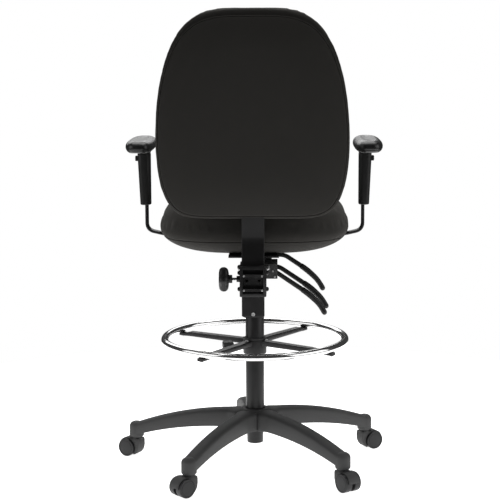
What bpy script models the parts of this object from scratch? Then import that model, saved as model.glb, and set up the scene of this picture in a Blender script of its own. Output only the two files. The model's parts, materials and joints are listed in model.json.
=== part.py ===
"""Drafting chair with a gas lift, a footring and adjustable arms, as an assembly of separate solids.

Metres, +Z up, sitter facing -Y, so +X is the sitter's left. Everything is laid out about the column's
axis, and the last step sets the whole chair down with the bottom of its box centred on the origin.
"""

import math

import bmesh
import bpy
from mathutils import Matrix, Vector

# Clearances
GAP = 0.0003  # between pieces that touch or turn in each other
PLAY = 0.0004  # each side of a piece that slides

# Gas column
COLUMN_RADIUS = 0.025
COLUMN_WALL = 0.0025
COLUMN_FOOT_RADIUS = COLUMN_RADIUS - 0.0032
COLUMN_BOTTOM = 0.0645
COLUMN_TOP = 0.460
BUSH_LENGTH = 0.058
BUSH_FLANGE = 0.006
CYLINDER_RADIUS = 0.014
CYLINDER_BOTTOM = 0.200
CYLINDER_BORE_TOP = 0.500
ROD_RADIUS = 0.005
ROD_BOTTOM = 0.058
ROD_TOP = 0.420
PIN_RADIUS = 0.002
BEARING_RADIUS = 0.014
CLIP_RADIUS = 0.009

# Five-leg base
LEG_COUNT = 5
BASE_TURN = math.radians(60.9)
STEM_CIRCLE = 0.338
HUB_RADIUS = COLUMN_RADIUS + 0.022
HUB_TOP = 0.161
HUB_BOTTOM = 0.104
LEG_START = HUB_RADIUS - 0.011
LEG_TOP = 0.158
LEG_TOP_DROP = 0.057
LEG_BOTTOM = 0.108
LEG_BOTTOM_DROP = 0.040
LEG_WIDTH = 0.045
LEG_TIP_WIDTH = 0.039
LEG_WALL = 0.004
SOCKET_RADIUS = 0.020
SOCKET_BOTTOM = 0.062

# Casters
WHEEL_RADIUS = 0.025
WHEEL_WIDTH = 0.019
AXLE_HEIGHT = WHEEL_RADIUS + 0.0055
CASTER_TRAIL = WHEEL_RADIUS - 0.003
CASTER_WEB = 0.009
AXLE_RADIUS = 0.004
STEM_RADIUS = 0.0055
HOOD_NECK_RADIUS = 0.0158
HOOD_WIDTH = 0.034
HOOD_WALL = 0.0016
CASTER_TURNS = (41.0, 126.0, 208.0, 281.0, 331.0)

# Footring
RING_RADIUS = 0.2445
RING_TUBE_RADIUS = 0.0095
RING_HEIGHT = 0.353
RING_HUB_RADIUS = COLUMN_RADIUS + 0.007
RING_HUB_BOTTOM = 0.313
RING_HUB_TOP = 0.352
SPOKE_COUNT = 4
SPOKE_TURN = math.radians(56.5)
SPOKE_WIDTH = 0.025
SPOKE_TIP_WIDTH = 0.019
RING_KNOB_TURN = math.radians(11.5)
RING_KNOB_HEIGHT = 0.335
RING_STUD_RADIUS = 0.004

# Mechanism under the seat
TRAY_HALF_WIDTH = 0.030
TRAY_FRONT = -0.075
TRAY_REAR = 0.176
TRAY_BOTTOM = 0.548
TRAY_TOP = 0.589
SHEET = 0.003
FRONT_PIVOT = (-0.055, 0.574)
REAR_PIVOT = (0.160, 0.572)
PIVOT_RADIUS = 0.004
PLATE_HALF_WIDTH = 0.066
PLATE_FRONT = -0.125
PLATE_REAR = 0.135
PLATE_BOTTOM = 0.5940
PLATE_TOP = 0.5995

# Levers
LEVER_PIVOT = (-0.050, 0.558)
LEVER_PLACES = (0.108, 0.068)
LEVER_STAGGER = 0.004
LEVER_PIN_RADIUS = 0.0025
HEIGHT_LEVER_PIVOT = (-0.041, 0.579)
LEVER_SLOPE = math.radians(34)
LEVER_RUN = 0.112
LEVER_BEND = math.radians(43)
LEVER_BEND_RUN = 0.040
GRIP_SLOPE = math.radians(60)
GRIP_RUN = 0.034
BOX_DEPTH = (0.045, 0.130)
BOX_OUTSIDE = -0.062
BOX_HEIGHT = (0.538, 0.578)

# Back support
BAR_WIDTH = 0.058
BAR_THICK = 0.008
BAR_PLACE = 0.232
BAR_BOTTOM = 0.455
BAR_TOP = 0.880
CARRIER_HALF_WIDTH = BAR_WIDTH / 2 + 0.005
CARRIER_FRONT = 0.205
CARRIER_REAR = 0.252
CARRIER_BOTTOM = 0.511
CARRIER_TOP = 0.591
BACK_KNOB_HEIGHT = 0.555
BACK_KNOB_RADIUS = 0.030
BACK_STUD_RADIUS = 0.0035

# Seat
SEAT_HALF_WIDTH = 0.254
SEAT_HALF_DEPTH = 0.2325
SEAT_CENTRE = -0.0375
PAN_BOTTOM = 0.5955
PAN_TOP = 0.640
PAN_INSET = 0.012
SEAT_WIDEST = 0.664
SEAT_TOP = 0.745

# Back
BACK_LEAN = math.radians(8)
BACK_REAR = 0.262
BACK_BOTTOM = 0.705
BACK_TOP = 1.243
BACK_WIDEST = 0.905
BACK_HALF_WIDTH = 0.247
PANEL_THICK = 0.024
CUSHION_THICK = 0.058
SEAM_INSET = 0.018

# Arms
ARM_PLACE = -0.050
ARM_UPRIGHT = SEAT_HALF_WIDTH + 0.039
ARM_ELBOW = 0.644
ARM_ROOT_HEIGHT = 0.631
ARM_BAR_HALF = (0.0046, 0.013)
ARM_BAR_TOP = 0.800
SLEEVE_BOTTOM = 0.714
SLEEVE_TOP = 0.862
SLEEVE_INNER_WALL = 0.007
SLEEVE_FOOT_HALF = (0.0145, 0.024)
SLEEVE_HEAD_HALF = (0.0178, 0.030)
SLEEVE_CAVITY_TOP = 0.848
PAD_CENTRE = ARM_UPRIGHT + 0.012
PAD_HALF = (0.038, 0.130)
PAD_THICK = 0.031

# Sides of round pieces
FINE = 22
MEDIUM = 16
COARSE = 10
WHEEL_SIDES = 20

FINISHES = {
    "nylon": ((0.042, 0.042, 0.042, 1.0), 0.45, 0.0),
    "soft_plastic": ((0.030, 0.030, 0.030, 1.0), 0.35, 0.0),
    "painted_steel": ((0.028, 0.027, 0.028, 1.0), 0.40, 0.3),
    "chrome": ((0.80, 0.80, 0.80, 1.0), 0.08, 1.0),
    "zinc": ((0.55, 0.55, 0.55, 1.0), 0.30, 1.0),
    "spring_steel": ((0.25, 0.25, 0.26, 1.0), 0.35, 1.0),
    "fabric": ((0.026, 0.025, 0.023, 1.0), 0.95, 0.0),
}

ALONG_X = Matrix.Rotation(math.pi / 2, 4, "Y")
ALONG_Y = Matrix.Rotation(-math.pi / 2, 4, "X")
FRAMES = {}


def shift(x, y, z):
    return Matrix.Translation((x, y, z))


def about_z(angle):
    return Matrix.Rotation(angle, 4, "Z")


# Scene, materials and objects


def clear_scene():
    for obj in list(bpy.data.objects):
        bpy.data.objects.remove(obj, do_unlink=True)


def make_finishes():
    for name, (colour, roughness, metallic) in FINISHES.items():
        material = bpy.data.materials.new(name)
        material.use_nodes = True
        shader = material.node_tree.nodes["Principled BSDF"]
        shader.inputs["Base Color"].default_value = colour
        shader.inputs["Roughness"].default_value = roughness
        shader.inputs["Metallic"].default_value = metallic
        material.diffuse_color = colour


def add_pivot(name, frame=Matrix.Identity(4), parent=None):
    """An empty on a joint's axis; frame is its place in the chair, and the body's pieces hang from it."""
    pivot = bpy.data.objects.new(name, None)
    bpy.context.scene.collection.objects.link(pivot)
    pivot.parent = parent
    FRAMES[name] = frame.copy()
    above = FRAMES[parent.name] if parent else Matrix.Identity(4)
    pivot.matrix_basis = above.inverted() @ frame
    return pivot


def add_object(name, bm, parent, place):
    bmesh.ops.recalc_face_normals(bm, faces=bm.faces)
    mesh = bpy.data.meshes.new(name)
    bm.to_mesh(mesh)
    bm.free()
    obj = bpy.data.objects.new(name, mesh)
    bpy.context.scene.collection.objects.link(obj)
    obj.parent = parent
    obj.matrix_basis = FRAMES[parent.name].inverted() @ place
    return obj


def add_part(name, bm, finish, pivot, place=Matrix.Identity(4)):
    part = add_object(name, bm, pivot, place)
    part.data.materials.append(bpy.data.materials[finish])
    part.data.shade_smooth()
    part.data.set_sharp_from_angle(angle=math.radians(35))
    return part


def combine(part, operation, bm, place):
    tool = add_object(f"{part.name}_{operation.lower()}_{len(part.modifiers)}", bm, part.parent, place)
    tool.hide_render = True
    tool.display_type = "WIRE"
    modifier = part.modifiers.new(tool.name, "BOOLEAN")
    modifier.operation = operation
    modifier.solver = "EXACT"
    modifier.object = tool


def join(part, bm, place=Matrix.Identity(4)):
    combine(part, "UNION", bm, place)


def cut(part, bm, place=Matrix.Identity(4)):
    combine(part, "DIFFERENCE", bm, place)


# Shapes, each a closed bmesh


def turned(outline, steps=FINE):
    """The closed outline of (radius, height) points turned about Z; a point on the axis stays one vertex."""
    bm = bmesh.new()
    rings = []
    for radius, height in outline:
        if radius == 0:
            rings.append([bm.verts.new((0, 0, height))] * steps)
            continue
        turns = [2 * math.pi * (k + 0.5) / steps for k in range(steps)]
        rings.append([bm.verts.new((radius * math.cos(a), radius * math.sin(a), height)) for a in turns])
    for lower, upper in zip(rings, rings[1:] + rings[:1]):
        for k in range(steps):
            after = (k + 1) % steps
            corners = dict.fromkeys((lower[k], lower[after], upper[after], upper[k]))
            if len(corners) > 2:
                bm.faces.new(corners)
    return bm


def rod(radius, start, end, steps=COARSE):
    return turned([(0, start), (radius, start), (radius, end), (0, end)], steps)


def tube(outer, inner, start, end, steps=FINE):
    return turned([(inner, start), (outer, start), (outer, end), (inner, end)], steps)


def lofted(rings, closed=False):
    """A skin over rings of equally many points, capped at both ends or closed on itself."""
    bm = bmesh.new()
    loops = [[bm.verts.new(point) for point in ring] for ring in rings]
    count = len(loops[0])
    pairs = list(zip(loops, loops[1:]))
    if closed:
        pairs.append((loops[-1], loops[0]))
    for one, other in pairs:
        for k in range(count):
            after = (k + 1) % count
            bm.faces.new((one[k], one[after], other[after], other[k]))
    if not closed:
        bm.faces.new(loops[0])
        bm.faces.new(loops[-1])
    return bm


def block(low, high, corner=0.0, segments=2):
    """A box between two corners, its edges rounded by corner."""
    bm = bmesh.new()
    bmesh.ops.create_cube(bm, size=1)
    middle = [(a + b) / 2 for a, b in zip(low, high)]
    sides = [b - a for a, b in zip(low, high)]
    bmesh.ops.transform(bm, matrix=shift(*middle) @ Matrix.Diagonal((*sides, 1)), verts=bm.verts)
    if corner:
        bmesh.ops.bevel(bm, geom=bm.edges, offset=corner, segments=segments, affect="EDGES", profile=0.5)
    return bm


def extruded(outline, start, end):
    """An outline in the XZ plane carried from Y = start to Y = end."""
    return lofted([[(x, y, z) for x, z in outline] for y in (start, end)])


def superellipse(half_x, half_y, power, count):
    points = []
    for k in range(count):
        angle = 2 * math.pi * k / count
        c, s = math.cos(angle), math.sin(angle)
        points.append(
            (
                half_x * math.copysign(abs(c) ** (2 / power), c),
                half_y * math.copysign(abs(s) ** (2 / power), s),
            )
        )
    return points


def arc(centre, radius, first, last, steps):
    """Points on a circle from one angle to another, in degrees."""
    angles = [math.radians(first + (last - first) * k / steps) for k in range(steps + 1)]
    return [(centre[0] + radius * math.cos(a), centre[1] + radius * math.sin(a)) for a in angles]


def swept(route, sections, normal):
    """Sections carried along a flat route; each is a list of (across, along the normal) points."""
    rings = []
    normal = Vector(normal)
    for k, point in enumerate(route):
        ahead = Vector(route[min(k + 1, len(route) - 1)])
        behind = Vector(route[max(k - 1, 0)])
        across = (ahead - behind).normalized().cross(normal)
        rings.append([Vector(point) + across * a + normal * b for a, b in sections[k]])
    return lofted(rings)


def bent(corners, radius, steps=4):
    """A route through flat corners, each inner one rounded by an arc of the radius."""
    points = [Vector(c) for c in corners]
    route = [points[0]]
    for before, corner, after in zip(points, points[1:], points[2:]):
        into, out = (corner - before).normalized(), (after - corner).normalized()
        turn = into.angle(out)
        if turn < math.radians(1):
            route.append(corner)
            continue
        reach = radius * math.tan(turn / 2)
        start, end = corner - into * reach, corner + out * reach
        for k in range(steps + 1):
            t = k / steps
            route.append(start * (1 - t) ** 2 + corner * 2 * t * (1 - t) + end * t**2)
    return route + [points[-1]]


# Column and gas lift


def column_outside(height):
    share = min(max((height - COLUMN_BOTTOM) / (HUB_TOP - COLUMN_BOTTOM), 0), 1)
    return COLUMN_FOOT_RADIUS + (COLUMN_RADIUS - COLUMN_FOOT_RADIUS) * share


def add_column(base, turning, seat_lift):
    inside = COLUMN_RADIUS - COLUMN_WALL
    foot_inside = COLUMN_FOOT_RADIUS - COLUMN_WALL
    floor = COLUMN_BOTTOM + 0.006
    bush_inside = CYLINDER_RADIUS + PLAY
    rod_hole = ROD_RADIUS + PLAY
    add_part(
        "column_tube",
        turned(
            [
                (rod_hole, COLUMN_BOTTOM),
                (COLUMN_FOOT_RADIUS, COLUMN_BOTTOM),
                (COLUMN_RADIUS, HUB_TOP),
                (COLUMN_RADIUS, COLUMN_TOP),
                (inside, COLUMN_TOP),
                (inside, HUB_TOP),
                (foot_inside, floor),
                (rod_hole, floor),
            ]
        ),
        "painted_steel",
        base,
    )
    flange = COLUMN_TOP + GAP
    add_part(
        "column_bush",
        turned(
            [
                (bush_inside, COLUMN_TOP - BUSH_LENGTH),
                (inside - GAP, COLUMN_TOP - BUSH_LENGTH),
                (inside - GAP, flange),
                (COLUMN_RADIUS, flange),
                (COLUMN_RADIUS, flange + BUSH_FLANGE * 0.6),
                (COLUMN_RADIUS - 0.003, flange + BUSH_FLANGE),
                (bush_inside, flange + BUSH_FLANGE),
            ],
            MEDIUM,
        ),
        "nylon",
        base,
    )
    washer = tube(BEARING_RADIUS, ROD_RADIUS + GAP, floor + GAP, floor + 0.005, MEDIUM)
    add_part("thrust_bearing", washer, "zinc", turning)
    clip_top = COLUMN_BOTTOM - GAP
    clip = tube(CLIP_RADIUS, ROD_RADIUS + GAP, clip_top - 0.003, clip_top, MEDIUM)
    add_part("retaining_clip", clip, "zinc", turning)
    add_part("gas_rod", rod(ROD_RADIUS, ROD_BOTTOM, ROD_TOP, MEDIUM), "chrome", turning)
    top = cylinder_top()
    pin_hole = PIN_RADIUS + PLAY
    add_part(
        "gas_spring",
        turned(
            [
                (ROD_RADIUS + PLAY, CYLINDER_BOTTOM),
                (CYLINDER_RADIUS, CYLINDER_BOTTOM),
                (CYLINDER_RADIUS, top),
                (pin_hole, top),
                (pin_hole, top - 0.020),
                (0, top - 0.020),
                (0, CYLINDER_BORE_TOP),
                (ROD_RADIUS + PLAY, CYLINDER_BORE_TOP),
            ]
        ),
        "chrome",
        seat_lift,
    )


def cylinder_top():
    return TRAY_BOTTOM + 0.024


# Five-leg base and casters


def leg_share(radius):
    return (radius - LEG_START) / (STEM_CIRCLE - LEG_START)


def leg_section(radius):
    """An upside-down channel with a rounded top, across the leg at this distance from the column."""
    share = leg_share(radius)
    top = LEG_TOP - LEG_TOP_DROP * share**2.0
    bottom = LEG_BOTTOM - LEG_BOTTOM_DROP * share**2.4
    half = (LEG_WIDTH + (LEG_TIP_WIDTH - LEG_WIDTH) * share) / 2
    crown = 0.55 * half
    ring = []
    for angle in range(180, -1, -30):
        turn = math.radians(angle)
        ring.append((radius, half * math.cos(turn), top - crown + crown * math.sin(turn)))
    inside, roof = half - LEG_WALL, top - crown
    right = [(half, bottom), (inside, bottom), (inside, roof)]
    left = [(-y, z) for y, z in reversed(right)]
    return ring + [(radius, y, z) for y, z in right + left]


def socket_dome():
    top = LEG_TOP - LEG_TOP_DROP + 0.003
    edge = top - 0.015
    round_top = arc((SOCKET_RADIUS - 0.013, edge), 0.013, 0, 80, 3)
    foot = [(0, SOCKET_BOTTOM), (SOCKET_RADIUS - 0.0015, SOCKET_BOTTOM)]
    foot.append((SOCKET_RADIUS, SOCKET_BOTTOM + 0.002))
    return turned(foot + round_top + [(0, edge + 0.0145)], MEDIUM)


def leg_turns():
    return [BASE_TURN + 2 * math.pi * k / LEG_COUNT for k in range(LEG_COUNT)]


def add_base_star(base):
    star = add_part(
        "base_star",
        turned(
            [
                (0, HUB_BOTTOM),
                (HUB_RADIUS - 0.005, HUB_BOTTOM),
                (HUB_RADIUS, HUB_BOTTOM + 0.006),
                (HUB_RADIUS, HUB_TOP - 0.018),
                (HUB_RADIUS - 0.003, HUB_TOP - 0.009),
                (HUB_RADIUS - 0.009, HUB_TOP - 0.002),
                (HUB_RADIUS - 0.013, HUB_TOP),
                (0, HUB_TOP),
            ]
        ),
        "nylon",
        base,
    )
    stations = 7
    reach = [LEG_START + (STEM_CIRCLE - LEG_START) * k / (stations - 1) for k in range(stations)]
    socket_depth = 0.028
    for turn in leg_turns():
        join(star, lofted([leg_section(r) for r in reach]), about_z(turn))
    for turn in leg_turns():
        join(star, socket_dome(), about_z(turn) @ shift(STEM_CIRCLE, 0, 0))
    bore = [(0, HUB_BOTTOM - 0.01), (column_outside(HUB_BOTTOM - 0.01) + GAP, HUB_BOTTOM - 0.01)]
    bore += [(COLUMN_RADIUS + GAP, HUB_TOP), (COLUMN_RADIUS + GAP, HUB_TOP + 0.01), (0, HUB_TOP + 0.01)]
    cut(star, turned(bore))
    for turn in leg_turns():
        hole = rod(STEM_RADIUS + GAP, SOCKET_BOTTOM - 0.01, SOCKET_BOTTOM + socket_depth)
        cut(star, hole, about_z(turn) @ shift(STEM_CIRCLE, 0, 0))


def wheel_rim():
    """The radius of the wheel's corners; its flats are at the wheel's radius."""
    return WHEEL_RADIUS / math.cos(math.pi / WHEEL_SIDES)


def wheel_well():
    """The corner radius of a well whose flats clear the turning wheel's corners."""
    return (wheel_rim() + 2 * GAP) / math.cos(math.pi / WHEEL_SIDES)


def hood_outline():
    """Side view of a caster's hood: a cowl round the wheels that runs down the front under the neck."""
    axle = (CASTER_TRAIL, AXLE_HEIGHT)
    cowl = wheel_well() + HOOD_WALL
    over = arc(axle, cowl, 10, 110, 6)
    front = [(-HOOD_NECK_RADIUS, AXLE_HEIGHT + 0.020), (-HOOD_NECK_RADIUS, AXLE_HEIGHT + 0.008)]
    under = arc((CASTER_TRAIL - 0.007, AXLE_HEIGHT + 0.007), WHEEL_RADIUS + 0.005, 188, 236, 3)
    return over + front + under


def wheel_outline():
    """Half section of a wheel from its blind bore at the inner side to its flat outer face."""
    bore = AXLE_RADIUS + GAP
    rim = wheel_rim()
    depth = WHEEL_WIDTH - 0.003
    return [
        (0, depth),
        (bore, depth),
        (bore, 0),
        (rim - 0.0015, 0),
        (rim, 0.0015),
        (rim, WHEEL_WIDTH - 0.0025),
        (rim - 0.0025, WHEEL_WIDTH),
        (0, WHEEL_WIDTH),
    ]


def add_caster(base, number, leg_turn, trail_turn):
    stem_frame = about_z(leg_turn) @ shift(STEM_CIRCLE, 0, 0)
    at = stem_frame.to_translation()
    frame = shift(at.x, at.y, 0) @ about_z(trail_turn)
    swivel = add_pivot(f"caster_swivel_{number}", frame, base)
    stem_low = SOCKET_BOTTOM - 0.012
    stem = rod(STEM_RADIUS, stem_low, SOCKET_BOTTOM + 0.026)
    add_part(f"caster_stem_{number}", stem, "zinc", base, frame)
    half = HOOD_WIDTH / 2
    hood = add_part(f"caster_hood_{number}", extruded(hood_outline(), -half, half), "nylon", swivel, frame)
    neck_top = SOCKET_BOTTOM - GAP
    join(hood, rod(HOOD_NECK_RADIUS, AXLE_HEIGHT + 0.010, neck_top, MEDIUM), frame)
    web = CASTER_WEB / 2
    axle = frame @ shift(CASTER_TRAIL, 0, AXLE_HEIGHT) @ ALONG_Y
    for side in (-1, 1):
        well = rod(wheel_well(), web, half + 0.01, WHEEL_SIDES)
        cut(hood, well, axle @ Matrix.Diagonal((1, 1, side, 1)))
    stub = web + WHEEL_WIDTH - 0.003 - GAP
    join(hood, rod(AXLE_RADIUS, -stub, stub), axle)
    cut(hood, rod(STEM_RADIUS + 2 * GAP, stem_low - GAP, neck_top + 0.01), frame)
    for letter, side in (("a", 1), ("b", -1)):
        centre = frame @ shift(CASTER_TRAIL, 0, AXLE_HEIGHT)
        roll = add_pivot(f"caster_roll_{number}{letter}", centre, swivel)
        wheel = turned([(r, (web + GAP + t) * side) for r, t in wheel_outline()], WHEEL_SIDES)
        add_part(f"caster_wheel_{number}{letter}", wheel, "soft_plastic", roll, centre @ ALONG_Y)


def add_casters(base):
    for number, (leg_turn, trail) in enumerate(zip(leg_turns(), CASTER_TURNS), 1):
        add_caster(base, number, leg_turn, math.radians(trail))


# Footring


def spoke_section(radius, share):
    """A flat bar with chamfered edges; it thins towards the ring so as to pass under it."""
    half = (SPOKE_WIDTH + (SPOKE_TIP_WIDTH - SPOKE_WIDTH) * share) / 2
    hub_high, hub_low = RING_HUB_TOP - 0.001, RING_HUB_TOP - 0.016
    tip_high = RING_HEIGHT - RING_TUBE_RADIUS - GAP
    tip_low = tip_high - 0.009
    high = hub_high + (tip_high - hub_high) * share
    low = hub_low + (tip_low - hub_low) * share
    edge = 0.003
    corners = [(half, low + edge), (half, high - edge), (half - edge, high), (edge - half, high)]
    corners += [(-half, high - edge), (-half, low + edge), (edge - half, low), (half - edge, low)]
    return [(radius, y, z) for y, z in corners]


def add_footring(slide):
    hub = tube(RING_HUB_RADIUS, COLUMN_RADIUS + PLAY, RING_HUB_BOTTOM, RING_HUB_TOP)
    spider = add_part("footring_spider", hub, "painted_steel", slide)
    inner, outer = COLUMN_RADIUS + 0.004, RING_RADIUS + 0.006
    stops = ((inner, 0.0), (RING_RADIUS - 0.028, 0.4), (RING_RADIUS - 0.013, 1.0), (outer, 1.0))
    for k in range(SPOKE_COUNT):
        turn = SPOKE_TURN + 2 * math.pi * k / SPOKE_COUNT
        join(spider, lofted([spoke_section(*stop) for stop in stops]), about_z(turn))
    knob_line = about_z(RING_KNOB_TURN) @ shift(0, 0, RING_KNOB_HEIGHT) @ ALONG_X
    boss_end = RING_HUB_RADIUS + 0.010
    join(spider, rod(0.009, COLUMN_RADIUS + 0.004, boss_end, MEDIUM), knob_line)
    cut(spider, rod(RING_STUD_RADIUS + GAP, 0.010, boss_end + 0.01), knob_line)

    collar_low = RING_HUB_TOP + GAP
    collar_inside = COLUMN_RADIUS + PLAY
    collar = turned(
        [
            (collar_inside, collar_low),
            (RING_HUB_RADIUS - 0.001, collar_low),
            (RING_HUB_RADIUS - 0.001, collar_low + 0.002),
            (RING_HUB_RADIUS - 0.004, collar_low + 0.005),
            (collar_inside, collar_low + 0.005),
        ]
    )
    add_part("footring_collar", collar, "nylon", slide)

    rings = []
    steps = 44
    for k in range(steps):
        turn = 2 * math.pi * k / steps
        outward = Vector((math.cos(turn), math.sin(turn), 0))
        circle = arc((RING_RADIUS, RING_HEIGHT), RING_TUBE_RADIUS, 0, 324, 9)
        rings.append([outward * r + Vector((0, 0, z)) for r, z in circle])
    add_part("footring_hoop", lofted(rings, closed=True), "chrome", slide)

    screw = add_pivot("footring_knob_screw", about_z(RING_KNOB_TURN) @ shift(0, 0, RING_KNOB_HEIGHT), slide)
    grip_start, grip_end, stud_end = 0.060, 0.088, 0.076
    stud = rod(RING_STUD_RADIUS, COLUMN_RADIUS + GAP, stud_end)
    add_part("footring_stud", stud, "zinc", screw, knob_line)
    grip = block((-0.012, -0.015, grip_start), (0.012, 0.015, grip_end), 0.004)
    knob = add_part("footring_knob", grip, "soft_plastic", screw, knob_line)
    cut(knob, rod(RING_STUD_RADIUS + GAP, grip_start - 0.01, stud_end + GAP), knob_line)


# Mechanism


def across(place):
    """A frame whose Z runs along X through a (y, z) place."""
    return shift(0, *place) @ ALONG_X


def add_tray(mechanism):
    half = TRAY_HALF_WIDTH
    body = block((-half, TRAY_FRONT, TRAY_BOTTOM), (half, TRAY_REAR, TRAY_TOP))
    tray = add_part("mechanism_tray", body, "painted_steel", mechanism)
    inner = half - SHEET
    floor = (-inner, TRAY_FRONT + SHEET, TRAY_BOTTOM + SHEET)
    cut(tray, block(floor, (inner, TRAY_REAR - SHEET, TRAY_TOP + 0.01)))
    join(tray, rod(CYLINDER_RADIUS + 0.006, TRAY_BOTTOM - 0.013, TRAY_BOTTOM + 0.018, MEDIUM))
    cut(tray, rod(CYLINDER_RADIUS + GAP, TRAY_BOTTOM - 0.02, TRAY_TOP, FINE))
    for place in (FRONT_PIVOT, REAR_PIVOT):
        cut(tray, rod(PIVOT_RADIUS + GAP, -half - 0.01, half + 0.01), across(place))
    pivot_x, pivot_z = HEIGHT_LEVER_PIVOT
    slot_half = 0.0062
    slot_low = (-half - 0.004, -slot_half, pivot_z - 0.011)
    cut(tray, block(slot_low, (-inner + 0.002, slot_half, TRAY_TOP + 0.01)))
    for side in (-1, 1):
        near, far = sorted((side * 0.0085, side * 0.0115))
        ear = block((pivot_x - 0.0055, near, pivot_z - 0.007), (-half + 0.0015, far, pivot_z + 0.007))
        join(tray, ear)
    cut(tray, rod(PIN_RADIUS + GAP, -0.02, 0.02), shift(pivot_x, 0, pivot_z) @ ALONG_Y)


def pivot_pin(inside, outside):
    """A steel pin along Z with a round head at both ends."""
    head = PIVOT_RADIUS + 0.0025
    start = inside + GAP
    end = [(PIVOT_RADIUS, start), (head, start), (head, outside - 0.001), (head - 0.001, outside)]
    end.append((0, outside))
    mirrored = [(radius, -height) for radius, height in reversed(end)]
    return turned(mirrored + end, COARSE + 2)


def add_pivots(mechanism):
    flange = TRAY_HALF_WIDTH + 2 * GAP + SHEET
    front, rear = pivot_pin(flange, flange + 0.004), pivot_pin(CARRIER_HALF_WIDTH, CARRIER_HALF_WIDTH + 0.007)
    add_part("front_pivot", front, "zinc", mechanism, across(FRONT_PIVOT))
    add_part("rear_pivot", rear, "zinc", mechanism, across(REAR_PIVOT))


def add_tilt_spring(mechanism):
    """A coil wound round the front pivot; each ring of its wire lies in the plane through the coil's axis."""
    coil, wire, turns, per_turn = 0.009, 0.0015, 5, 10
    half = TRAY_HALF_WIDTH - 0.010
    rings = []
    for k in range(turns * per_turn + 1):
        angle = 2 * math.pi * k / per_turn
        along = -half + 2 * half * k / (turns * per_turn)
        outward = Vector((math.cos(angle), math.sin(angle), 0))
        circle = arc((coil, along), wire, 0, 288, 4)
        rings.append([outward * r + Vector((0, 0, z)) for r, z in circle])
    add_part("tilt_spring", lofted(rings), "spring_steel", mechanism, across(FRONT_PIVOT))


def add_seat_plate(seat):
    half = PLATE_HALF_WIDTH
    body = block((-half, PLATE_FRONT, PLATE_BOTTOM), (half, PLATE_REAR, PLATE_TOP))
    plate = add_part("seat_plate", body, "painted_steel", seat)
    inner = half - SHEET
    under = (-inner, PLATE_FRONT + SHEET, PLATE_BOTTOM - 0.01)
    cut(plate, block(under, (inner, PLATE_REAR - SHEET, PLATE_TOP - SHEET)))
    face = TRAY_HALF_WIDTH + 2 * GAP
    y, z = FRONT_PIVOT
    for side in (-1, 1):
        near, far = sorted((side * face, side * (face + SHEET)))
        join(plate, block((near, y - 0.020, z - 0.012), (far, y + 0.020, PLATE_TOP - SHEET / 2)))
    cut(plate, rod(PIVOT_RADIUS + GAP, -face - 0.01, face + 0.01), across(FRONT_PIVOT))


# Levers


def lever_route(start, first_run):
    """A route in the XZ plane: out from the pivot, down at the lever's slope, then steeper along the grip."""
    legs = ((LEVER_SLOPE, first_run), (LEVER_BEND, LEVER_BEND_RUN), (GRIP_SLOPE, GRIP_RUN))
    points = [start]
    for slope, run in legs:
        x, z = points[-1]
        points.append((x - run * math.cos(slope), z - run * math.sin(slope)))
    return points


def add_lever(name, pivot, eye, y, corners, reach_half, extra=None):
    """A flat steel lever with a moulded grip; reach_half is half its width at the eye, front to back."""
    route = bent([(x, y, z) for x, z in corners], 0.014, 3)
    length = len(route) - 1
    sections = []
    for k in range(length + 1):
        share = min(max((k / length - 0.45) / 0.15, 0), 1)
        thick = 0.0058 + 0.0017 * share
        wide = reach_half + 0.0025 * share
        if k == length:
            thick, wide = thick * 0.6, wide * 0.7
        sections.append(superellipse(thick, wide, 3.0, COARSE))
    lever = add_part(name, swept(route, sections, (0, 1, 0)), "soft_plastic", pivot)
    eye_frame = shift(eye[0], y, eye[1]) @ ALONG_Y
    join(lever, rod(0.0062, -reach_half - 0.0004, reach_half + 0.0004, MEDIUM), eye_frame)
    if extra:
        join(lever, extra)
    return lever, eye_frame


def add_levers(mechanism):
    x0, x1 = BOX_OUTSIDE, -TRAY_HALF_WIDTH - GAP
    (y0, y1), (z0, z1) = BOX_DEPTH, BOX_HEIGHT
    box = add_part("lever_box", block((x0, y0, z0), (x1, y1, z1), 0.0008, 1), "nylon", mechanism)
    wall = 0.0025
    cut(box, block((x0 - 0.01, y0 + wall, z0 + wall), (x1 - wall, y1 - wall, z1 - wall)))
    px, pz = LEVER_PIVOT
    hole = rod(LEVER_PIN_RADIUS + GAP, y0 - 0.01, y1 + 0.01)
    cut(box, hole, shift(px, 0, pz) @ ALONG_Y)
    pin = rod(LEVER_PIN_RADIUS, y0 - 0.001, y1 + 0.001)
    add_part("lever_pin", pin, "zinc", mechanism, shift(px, 0, pz) @ ALONG_Y)
    raised = (px - 0.014, pz + LEVER_STAGGER)
    routes = (lever_route(LEVER_PIVOT, LEVER_RUN), [LEVER_PIVOT] + lever_route(raised, LEVER_RUN - 0.010))
    for name, y, corners in zip(("lever_back", "lever_seat"), LEVER_PLACES, routes):
        pivot = add_pivot(f"{name}_pivot", shift(px, y, pz), mechanism)
        lever, eye_frame = add_lever(name, pivot, LEVER_PIVOT, y, corners, 0.0075)
        cut(lever, rod(LEVER_PIN_RADIUS + GAP, -0.02, 0.02), eye_frame)

    hx, hz = HEIGHT_LEVER_PIVOT
    pivot = add_pivot("lever_height_pivot", shift(hx, 0, hz), mechanism)
    elbow = (hx - 0.037, hz + 0.005)
    corners = [(hx, hz)] + lever_route(elbow, LEVER_RUN - 0.036)
    top = cylinder_top()
    arm = block((hx, -0.005, top + 0.0055), (PIN_RADIUS * 2, 0.005, top + 0.0100))
    lever, eye_frame = add_lever("lever_height", pivot, HEIGHT_LEVER_PIVOT, 0, corners, 0.0070, arm)
    cut(lever, rod(PIN_RADIUS + GAP, -0.02, 0.02), eye_frame)
    add_part("height_lever_pin", rod(PIN_RADIUS, -0.0122, 0.0122), "zinc", mechanism, eye_frame)
    button = add_pivot("release_pin_slide", shift(0, 0, top), mechanism)
    add_part("release_pin", rod(PIN_RADIUS, top - 0.014, top + 0.005), "zinc", button)


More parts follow.
